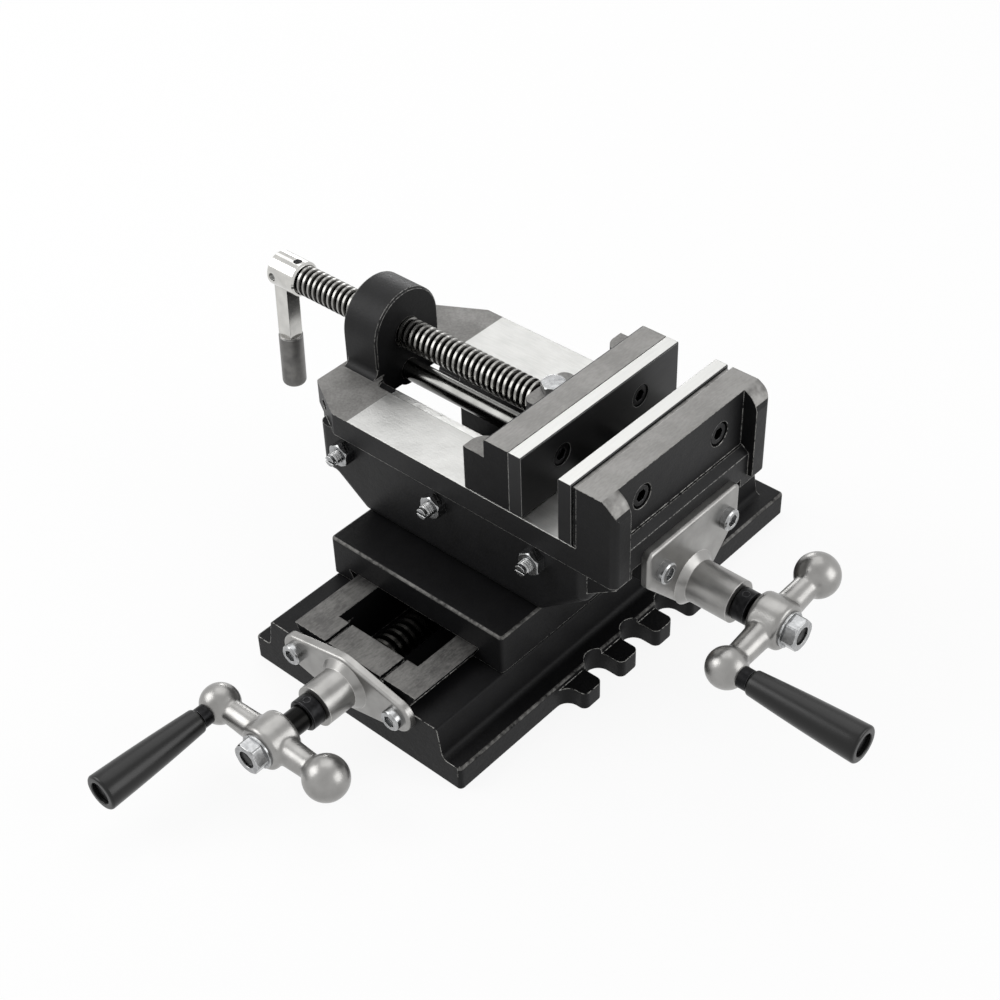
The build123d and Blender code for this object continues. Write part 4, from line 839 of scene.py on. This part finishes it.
def seen_directly(tree):
    """1 for what the camera sees, by itself or mirrored in metal."""
    path = put(tree, "LightPath")
    seen = path.outputs["Is Camera Ray"]
    for ray in ("Is Glossy Ray", "Is Transmission Ray"):
        seen = put(tree, "Math", {"operation": "MAXIMUM"}, {0: seen, 1: path.outputs[ray]})
    return seen


def floor():
    """A plain white floor that keeps the soft shadow of the object."""
    material, tree = new_material("white_floor")
    share = put(tree, "Math", {"operation": "MULTIPLY", 1: FLOOR_GLOW}, {0: seen_directly(tree)})
    matt = put(tree, "BsdfDiffuse", {"Color": "#fafafa"})
    glow = put(tree, "Emission", {"Color": "#ffffff", "Strength": 1.0})
    surface = put(tree, "MixShader", links={0: share, 1: matt, 2: glow})
    put(tree, "OutputMaterial", links={0: surface})
    corners = [(x * FLOOR_HALF, y * FLOOR_HALF, 0) for x, y in ((-1, -1), (1, -1), (1, 1), (-1, 1))]
    mesh = bpy.data.meshes.new("floor")
    mesh.from_pydata(corners, [], [(0, 1, 2, 3)])
    mesh.materials.append(material)
    ground = bpy.data.objects.new("floor", mesh)
    bpy.context.scene.collection.objects.link(ground)


def surroundings():
    """White surroundings, plain white to the eye and in reflections, and dimmer as a light."""
    sky = bpy.data.worlds.new("white_studio")
    sky.use_nodes = True
    tree = sky.node_tree
    tree.nodes.clear()
    strength = put(tree, "MapRange", {"To Min": SKY_LIGHT, "To Max": 1.0}, {"Value": seen_directly(tree)})
    back = put(tree, "Background", {"Color": "#ffffff"}, {"Strength": strength})
    put(tree, "OutputWorld", links={0: back})
    bpy.context.scene.world = sky


def softbox(name, place, size, power):
    """A square lamp that looks at the middle of the vise."""
    lamp = bpy.data.lights.new(name, "AREA")
    lamp.size = size
    lamp.energy = power
    box = bpy.data.objects.new(name, lamp)
    bpy.context.scene.collection.objects.link(box)
    box.location = place
    box.rotation_mode = "QUATERNION"
    box.rotation_quaternion = (VISE_MIDDLE - Vector(place)).to_track_quat("-Z", "Y")


def camera():
    """The camera of the photograph: about 0.85 m away, 40 degrees up, 43 degrees round to the right."""
    azimuth = 0.74758
    elevation = 0.70374
    roll = -0.03523
    back = Vector((
        math.sin(azimuth) * math.cos(elevation),
        -math.cos(azimuth) * math.cos(elevation),
        math.sin(elevation),
    ))
    level_line = Vector((math.cos(azimuth), math.sin(azimuth), 0))
    rise = back.cross(level_line)
    right = level_line * math.cos(roll) + rise * math.sin(roll)
    up = rise * math.cos(roll) - level_line * math.sin(roll)
    data = bpy.data.cameras.new("photo_camera")
    data.sensor_width = 36.0
    data.lens = 66.06
    data.clip_start = 0.01
    data.clip_end = 20.0
    eye = bpy.data.objects.new("photo_camera", data)
    bpy.context.scene.collection.objects.link(eye)
    turn = Matrix((right, up, back)).transposed().to_4x4()
    eye.matrix_world = Matrix.Translation((0.40987, -0.46064, 0.57182)) @ turn
    bpy.context.scene.camera = eye


dress_nodes()
clamp_screw()
lead_screws()
gib_screws("cross", "saddle", 1, 0, CROSS_GIB_PITCH)
gib_screws("long", "vise_body", 0, 1, LONG_GIB_PITCH)
cranks_and_grips()
floor()
surroundings()
softbox("overhead_softbox", (-0.45, 0.5, 1.3), 1.2, 5.2)
softbox("back_softbox", (-1.0, 1.0, 0.3), 0.4, 2.4)
softbox("left_softbox", (-0.9, -0.75, 0.9), 0.9, 9)
softbox("right_softbox", (1.3, 0.5, 0.6), 1.0, 8)
camera()
bpy.context.scene.view_settings.view_transform = "Standard"
